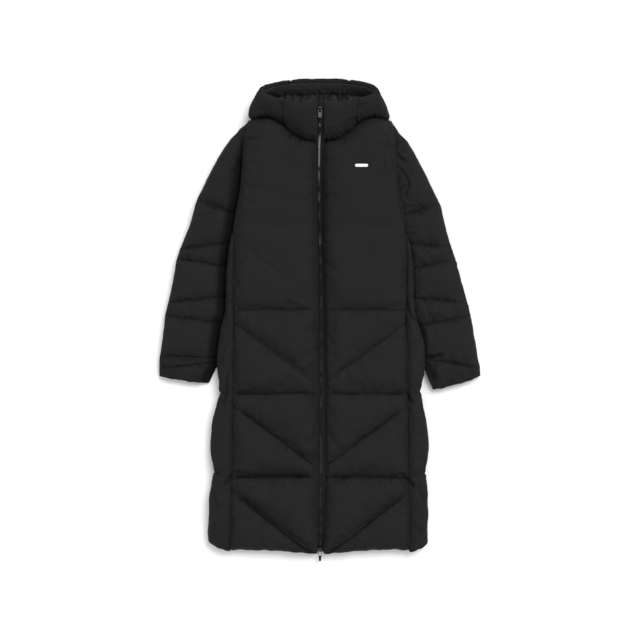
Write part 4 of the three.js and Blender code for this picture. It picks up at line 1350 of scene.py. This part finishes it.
def inner_cloth(node, material, wrinkle, seed):
    """A thin layer inside the hood: the solid's own shape, finer and wrinkled."""
    piece = merged_copy(node, f"{node}_cloth")
    with edited(piece) as shape:
        bmesh.ops.subdivide_edges(shape, edges=shape.edges, cuts=5, use_grid_fill=True)
    soften(piece, 3, np.zeros(len(piece.data.vertices)))
    points = points_of(piece)
    height, size, length = wrinkle
    shift = np.empty_like(points)
    for i, p in enumerate(points):
        where = Vector((p[0] / (size * MM), p[1] / (length * MM), p[2] / (length * MM) + seed))
        shift[i] = (0, noise.noise(where + Vector((9, 0, 0))), noise.noise(where))
    move_points(piece, points + shift * height * MM)
    # Painted shade: the wrinkles' valleys are darkened in the cloth's colour.
    paint_shade(piece, np.clip(-shift[:, 2] * height * 0.15, 0, 0.5))
    dress(piece, material)
    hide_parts(node)
    return piece


# Geometry Nodes for what repeats


class Pattern(Tree):
    """A Geometry Nodes tree with named inputs for its sizes."""

    def __init__(self, name, sizes):
        super().__init__(bpy.data.node_groups.new(name, "GeometryNodeTree"))
        self.identifiers = {}
        self.tree.interface.new_socket("Path", in_out="INPUT", socket_type="NodeSocketGeometry")
        for size, value in sizes.items():
            socket = self.tree.interface.new_socket(size, in_out="INPUT", socket_type="NodeSocketFloat")
            socket.default_value = value
            self.identifiers[size] = socket.identifier
        self.tree.interface.new_socket("Result", in_out="OUTPUT", socket_type="NodeSocketGeometry")
        self.inputs = self.tree.nodes.new("NodeGroupInput").outputs
        self.result = self.tree.nodes.new("NodeGroupOutput").inputs["Result"]

    def maths(self, operation, first, second):
        return self.node("ShaderNodeMath", {"operation": operation}, {0: first, 1: second}).outputs[0]

    def vector(self, x=0.0, y=0.0, z=0.0):
        return self.node("ShaderNodeCombineXYZ", {}, {"X": x, "Y": y, "Z": z}).outputs[0]

    def finish(self, instances, material):
        real = self.node("GeometryNodeRealizeInstances", {}, {"Geometry": instances}).outputs[0]
        coloured = self.node("GeometryNodeSetMaterial", {}, {"Geometry": real, "Material": material})
        self.tree.links.new(coloured.outputs[0], self.result)

    def spaced_points(self, step):
        """Evenly spaced points on the path, with the way that it runs there."""
        curve = self.node("GeometryNodeMeshToCurve", {}, {"Mesh": self.inputs["Path"]}).outputs[0]
        inputs = {"Curve": curve, "Length": step}
        points = self.node("GeometryNodeCurveToPoints", {"mode": "LENGTH"}, inputs)
        return points.outputs["Points"], points.outputs["Tangent"]

    def bars(self, points, tangent, corners, laid, scale, turning, material):
        """A bar of so many corners at each point, laid over, scaled and turned to the path."""
        bar = self.node("GeometryNodeMeshCylinder", {}, {"Vertices": corners, "Radius": 0.5, "Depth": 1.0})
        inputs = {"Geometry": bar.outputs["Mesh"], "Rotation": laid}
        lying = self.node("GeometryNodeTransform", {}, inputs)
        sized = self.node("GeometryNodeTransform", {}, {"Geometry": lying.outputs[0], "Scale": scale})
        turn = self.node("FunctionNodeAlignRotationToVector", turning, {"Vector": tangent})
        inputs = {"Points": points, "Instance": sized.outputs[0], "Rotation": turn.outputs[0]}
        self.finish(self.node("GeometryNodeInstanceOnPoints", {}, inputs).outputs[0], material)


def tooth_pattern():
    """Zip teeth: rounded bars that reach in from both tapes in turn."""
    sizes = {
        "Pitch": 1.5 * MM,
        "Length": 4.0 * MM,
        "Width": 1.15 * MM,
        "Height": 2.0 * MM,
        "Reach": 1.3 * MM,
    }
    pattern = Pattern("zip teeth", sizes)
    points, tangent = pattern.spaced_points(pattern.inputs["Pitch"])
    index = pattern.node("GeometryNodeInputIndex").outputs[0]
    doubled = pattern.maths("MULTIPLY", pattern.maths("MODULO", index, 2.0), 2.0)
    side = pattern.maths("SUBTRACT", doubled, 1.0)
    offset = pattern.vector(x=pattern.maths("MULTIPLY", side, pattern.inputs["Reach"]))
    moved = pattern.node("GeometryNodeSetPosition", {}, {"Geometry": points, "Offset": offset}).outputs[0]
    scale = pattern.vector(pattern.inputs["Length"], pattern.inputs["Width"], pattern.inputs["Height"])
    turning = {"axis": "Y", "pivot_axis": "X"}
    pattern.bars(moved, tangent, 8, (0, math.pi / 2, 0), scale, turning, TEETH)
    return pattern


def stitch_pattern():
    """Sewing: short threads that lie end to end along the path."""
    sizes = {"Pitch": 3.3 * MM, "Length": 2.5 * MM, "Thread": 0.5 * MM}
    pattern = Pattern("stitches", sizes)
    points, tangent = pattern.spaced_points(pattern.inputs["Pitch"])
    thick = pattern.inputs["Thread"]
    scale = pattern.vector(thick, pattern.inputs["Length"], thick)
    pattern.bars(points, tangent, 6, (math.pi / 2, 0, 0), scale, {"axis": "Y"}, THREAD)
    return pattern


def repeated(name, pattern, paths, material, sizes=None):
    """Runs a pattern along paths, and keeps the result as a plain mesh."""
    points = [p for path in paths for p in path]
    edges = []
    start = 0
    for path in paths:
        edges += [(start + i, start + i + 1) for i in range(len(path) - 1)]
        start += len(path)
    mesh = bpy.data.meshes.new(name)
    mesh.from_pydata([tuple(p) for p in points], edges, [])
    piece = new_object(name, mesh)
    modifier = piece.modifiers.new(pattern.tree.name, "NODES")
    modifier.node_group = pattern.tree
    for size, value in (sizes or {}).items():
        modifier[pattern.identifiers[size]] = value
    settle(piece)
    return dress(piece, material)


# Lines laid on the finished cloth


class Surface:
    """Finds the height of the cloth under a place seen from above."""

    def __init__(self, pieces):
        points = []
        faces = []
        for piece in pieces:
            start = len(points)
            points += [v.co.copy() for v in piece.data.vertices]
            faces += [[start + i for i in f.vertices] for f in piece.data.polygons]
        self.tree = BVHTree.FromPolygons(points, faces)

    def point(self, x, y, above=0.0):
        hit, normal, _, _ = self.tree.ray_cast(Vector((x, y, 1)), Vector((0, 0, -1)))
        if hit is None:
            return None
        return hit + normal * above * MM

    def path(self, places, above=0.25, step=2.2):
        """A path on the cloth through places, broken where there is no cloth."""
        fine = []
        for a, b in zip(places[:-1], places[1:]):
            count = max(int(math.dist(a, b) / (step * MM)), 1)
            fine += [np.array(a) + (np.array(b) - np.array(a)) * i / count for i in range(count)]
        found = [self.point(x, y, above) for x, y in fine]
        return [p for p in found if p is not None]


LAST_STITCH = 1182  # mm below, where a slanting line's thread ends at the hem


def stitched_lines(side, cloth):
    """Every line of sewing on one half of the coat, as paths on the cloth."""
    beside_zip = [place(side, ZIP_EDGE + 7, b) for b in np.linspace(72, 1178, 60)]
    beside_seam = [place(side, seam_from_zip(b) - 5, b) for b in np.linspace(30, 1166, 90)]
    under_neck = [place(side, x, neck_below(x) + 5) for x in np.linspace(ZIP_EDGE + 2, 186, 30)]
    paths = [cloth.path(line) for line in (beside_zip, beside_seam, under_neck)]
    for row in QUILT[1:]:
        level_end = seam_from_zip(row["level"]) - 2
        slant_end = seam_from_zip(row["at_seam"]) - 2
        level = [place(side, x, row["level"]) for x in (ZIP_EDGE + 3, level_end)]
        paths.append(cloth.path(level))
        bottom = min(row["at_zip"], LAST_STITCH)
        share = (row["at_zip"] - bottom) / (row["at_zip"] - row["at_seam"])
        start = ZIP_EDGE + 3 + share * (slant_end - ZIP_EDGE)
        paths.append(cloth.path([place(side, start, bottom), place(side, slant_end, row["at_seam"])]))
    hem = [place(side, ZIP_EDGE + 3, HEM_BELOW["zip"] - 16), place(side, 240, HEM_BELOW["seam"] - 16)]
    paths.append(cloth.path(hem))
    return [path for path in paths if len(path) > 2]


def bartack(side, cloth, from_zip, below):
    """A dense row of threads that closes the end of a pocket's mouth."""
    ends = [place(side, from_zip - 5, below), place(side, from_zip + 5, below)]
    return cloth.path(ends, above=0.5, step=1)


# Zip

ZIP_HEIGHTS = [
    {"below": -42, "z": 97},
    {"below": -2, "z": 80},
    {"below": 28, "z": 67},
    {"below": 58, "z": 51},
    {"below": 88, "z": 36},
    {"below": 128, "z": 33},
    {"below": 1098, "z": 33},
    {"below": 1134, "z": 31},
    {"below": 1164, "z": 25},
    {"below": 1188, "z": 18},
]
TAPE_THICK = 1.6
TAPE_START = 0.3  # mm from the middle line to the edge that carries the teeth
TAPE_REACH = 13.4  # mm from the middle line to the edge under the cloth
zip_height = column(ZIP_HEIGHTS, "below", "z")


def zip_tape(side):
    """A woven tape, slightly wavy, that reaches under the front's edge."""
    node = f"zip_tape_{side}"
    rows = np.arange(ZIP_LINE["top"] - 2, ZIP_LINE["bottom"] + 6, 3.0)
    columns = np.linspace(TAPE_START, TAPE_REACH, 7)
    points = []
    for below in rows:
        for x in columns:
            uneven = ripple(below / 24, 3.0, x / 6) * 0.25 * min(x / 6, 1)
            flat = place(side, x + SIGN[side] * zip_drift(below), below)
            points.append((*flat, (zip_height(below) + TAPE_THICK - 0.1 + uneven) * MM))
    piece = thicken(skin(f"{node}_cloth", points, len(columns)), "tape thickness", 1.2)
    dress(piece, TAPE)
    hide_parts(node)
    return piece


# The cord end's radius along the pull, both in mm.
CORD_END = [(22.6, 1.4), (23, 2.6), (24, 3.2), (28, 3.3), (34, 3.2), (36.4, 2.8), (37.4, 1.6)]


def zip_chain():
    rows = np.arange(ZIP_LINE["top"] + 18, ZIP_LINE["bottom"] - 8, 2.0)
    path = [(*place("left", zip_drift(b), b), (zip_height(b) + TAPE_THICK + 0.75) * MM) for b in rows]
    return repeated("zip_teeth", tooth_pattern(), [path], TEETH)


def metal_piece(node, body, bevel, material=GUNMETAL):
    """A cast part: the solid's shape with its edges rounded."""
    piece = merged_copy(node, f"{node}_cast")
    flat = piece.modifiers.new("join flat faces", "DECIMATE")
    flat.decimate_type = "DISSOLVE"
    flat.angle_limit = math.radians(4)
    rounding = piece.modifiers.new("rounded edges", "BEVEL")
    rounding.width = bevel * MM
    rounding.segments = 3
    rounding.limit_method = "ANGLE"
    rounding.angle_limit = math.radians(32)
    settle(piece)
    dress(piece, material, body)
    by_angle(piece)
    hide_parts(node)
    return piece


def cord_end():
    """The black moulded end that closes the bottom pull's loop."""
    low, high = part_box("zip_pull_bottom")
    top = np.array([(low.x + high.x) / 2, high.y, high.z - 1.2 * MM])
    tip = np.array([top[0], low.y, low.z + 0.9 * MM])
    way = (tip - top) / np.linalg.norm(tip - top)
    lift = np.cross(np.array([1.0, 0, 0]), way)
    rings = []
    for along, radius in CORD_END:
        turns = np.linspace(0, 2 * math.pi, 14, endpoint=False)
        across = np.outer(np.cos(turns), [1, 0, 0]) + np.outer(np.sin(turns), lift)
        rings.append(top + way * along * MM + across * radius * MM)
    piece = tube("zip_pull_bottom_cord_end", rings)
    dress(piece, CORD, "pull_bottom")
    by_angle(piece)
    return piece


def by_angle(piece):
    """Smooth shading that stays sharp across steep edges."""
    with edited(piece) as shape:
        for edge in shape.edges:
            edge.smooth = len(edge.link_faces) == 2 and edge.calc_face_angle(0) < math.radians(40)


def patch(cloth):
    """A plain rounded film, pressed on so that it follows the cloth."""
    node = "chest_patch"
    low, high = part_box(node)
    middle = (low + high) / 2
    half = (high - low) / 2
    radius = half.y
    columns = np.linspace(-half.x, half.x, 37)
    points = []
    for x in columns:
        past = max(abs(x) - (half.x - radius), 0)
        reach = math.sqrt(max(radius**2 - past**2, (0.12 * radius) ** 2))
        for y in np.linspace(-reach, reach, 9):
            points.append(cloth.point(middle.x + x, middle.y + y, 0.45))
    piece = skin(f"{node}_film", points, 9)
    soften(piece, 6, np.full(len(points), 0.5))
    thicken(piece, "film thickness", 0.5)
    dress(piece, FILM)
    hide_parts(node)
    return piece


# Stage

PICTURE_WIDTH = 640 * 2.7 * MM  # what the picture spans at the height of the cloth
CLOTH_HEIGHT = 0.06


def soft_light():
    """One broad light from above the hood, aimed at the coat's middle."""
    light = bpy.data.lights.new("key light", "SUN")
    light.angle = math.radians(34)
    light.energy = 2.1
    stand = bpy.data.objects.new("key light", light)
    stand.location = (1.4, 2.1, 3.7)
    stand.rotation_euler = (-stand.location).to_track_quat("-Z", "Y").to_euler()
    bpy.context.scene.collection.objects.link(stand)


def stage():
    floor = from_geometry(
        "studio_floor",
        [(-9, -9, 0), (9, -9, 0), (9, 9, 0), (-9, 9, 0)],
        [(0, 1, 2, 3)],
    )
    floor.data.materials.append(pale_paper())
    world = bpy.data.worlds.new("soft studio")
    world.use_nodes = True
    background = world.node_tree.nodes["Background"]
    background.inputs["Color"].default_value = (1, 1, 1, 1)
    background.inputs["Strength"].default_value = 0.8
    scene = bpy.context.scene
    scene.world = world
    scene.view_settings.view_transform = "Standard"
    soft_light()
    lens = bpy.data.cameras.new("camera")
    lens.lens = 100
    lens.sensor_width = 36
    camera = bpy.data.objects.new("camera", lens)
    distance = PICTURE_WIDTH * lens.lens / lens.sensor_width
    camera.location = (0.0005, 0.001, CLOTH_HEIGHT + distance)
    scene.collection.objects.link(camera)
    scene.camera = camera


def make_coat():
    """Every piece of the coat, from the back up."""
    back()
    folded_crown()
    fronts = [front(side) for side in SIGN]
    for side in SIGN:
        side_panel(side)
    for side in SIGN:
        sleeve(side)
    for side in SIGN:
        hood_panel(f"collar_{side}", [side], 3.0, 21.0 + SIGN[side])
        hood_panel(f"hood_side_{side}", [side], 3.2, 27.0 + SIGN[side])
    hood_panel("hood_centre", list(SIGN), 3.2, 33.0)
    inner_cloth("hood_facing", FACING_PAINTED_LIGHTER, (2.2, 16, 30), 61.0)
    inner_cloth("hood_lining", LINING, (4.4, 9, 46), 67.0)
    for side in SIGN:
        zip_tape(side)
    zip_chain()
    metal_piece("zip_slider_top", "coat", 0.5, DARK_METAL)
    metal_piece("zip_slider_bottom", "coat", 0.5, DARK_METAL)
    metal_piece("zip_pull_top", "pull_top", 0.35)
    metal_piece("zip_pull_bottom", "pull_bottom", 0.35)
    cord_end()
    cloth = Surface(fronts)
    patch(cloth)
    stitches = stitch_pattern()
    for side in SIGN:
        paths = stitched_lines(side, cloth)
        repeated(f"stitches_{side}", stitches, paths, THREAD)
        tacks = [bartack(side, cloth, seam_from_zip(b) - 7, b) for b in (POCKET["top"], POCKET["bottom"])]
        repeated(f"bartacks_{side}", stitches, tacks, THREAD, {"Pitch": 0.9 * MM})


make_coat()
stage()
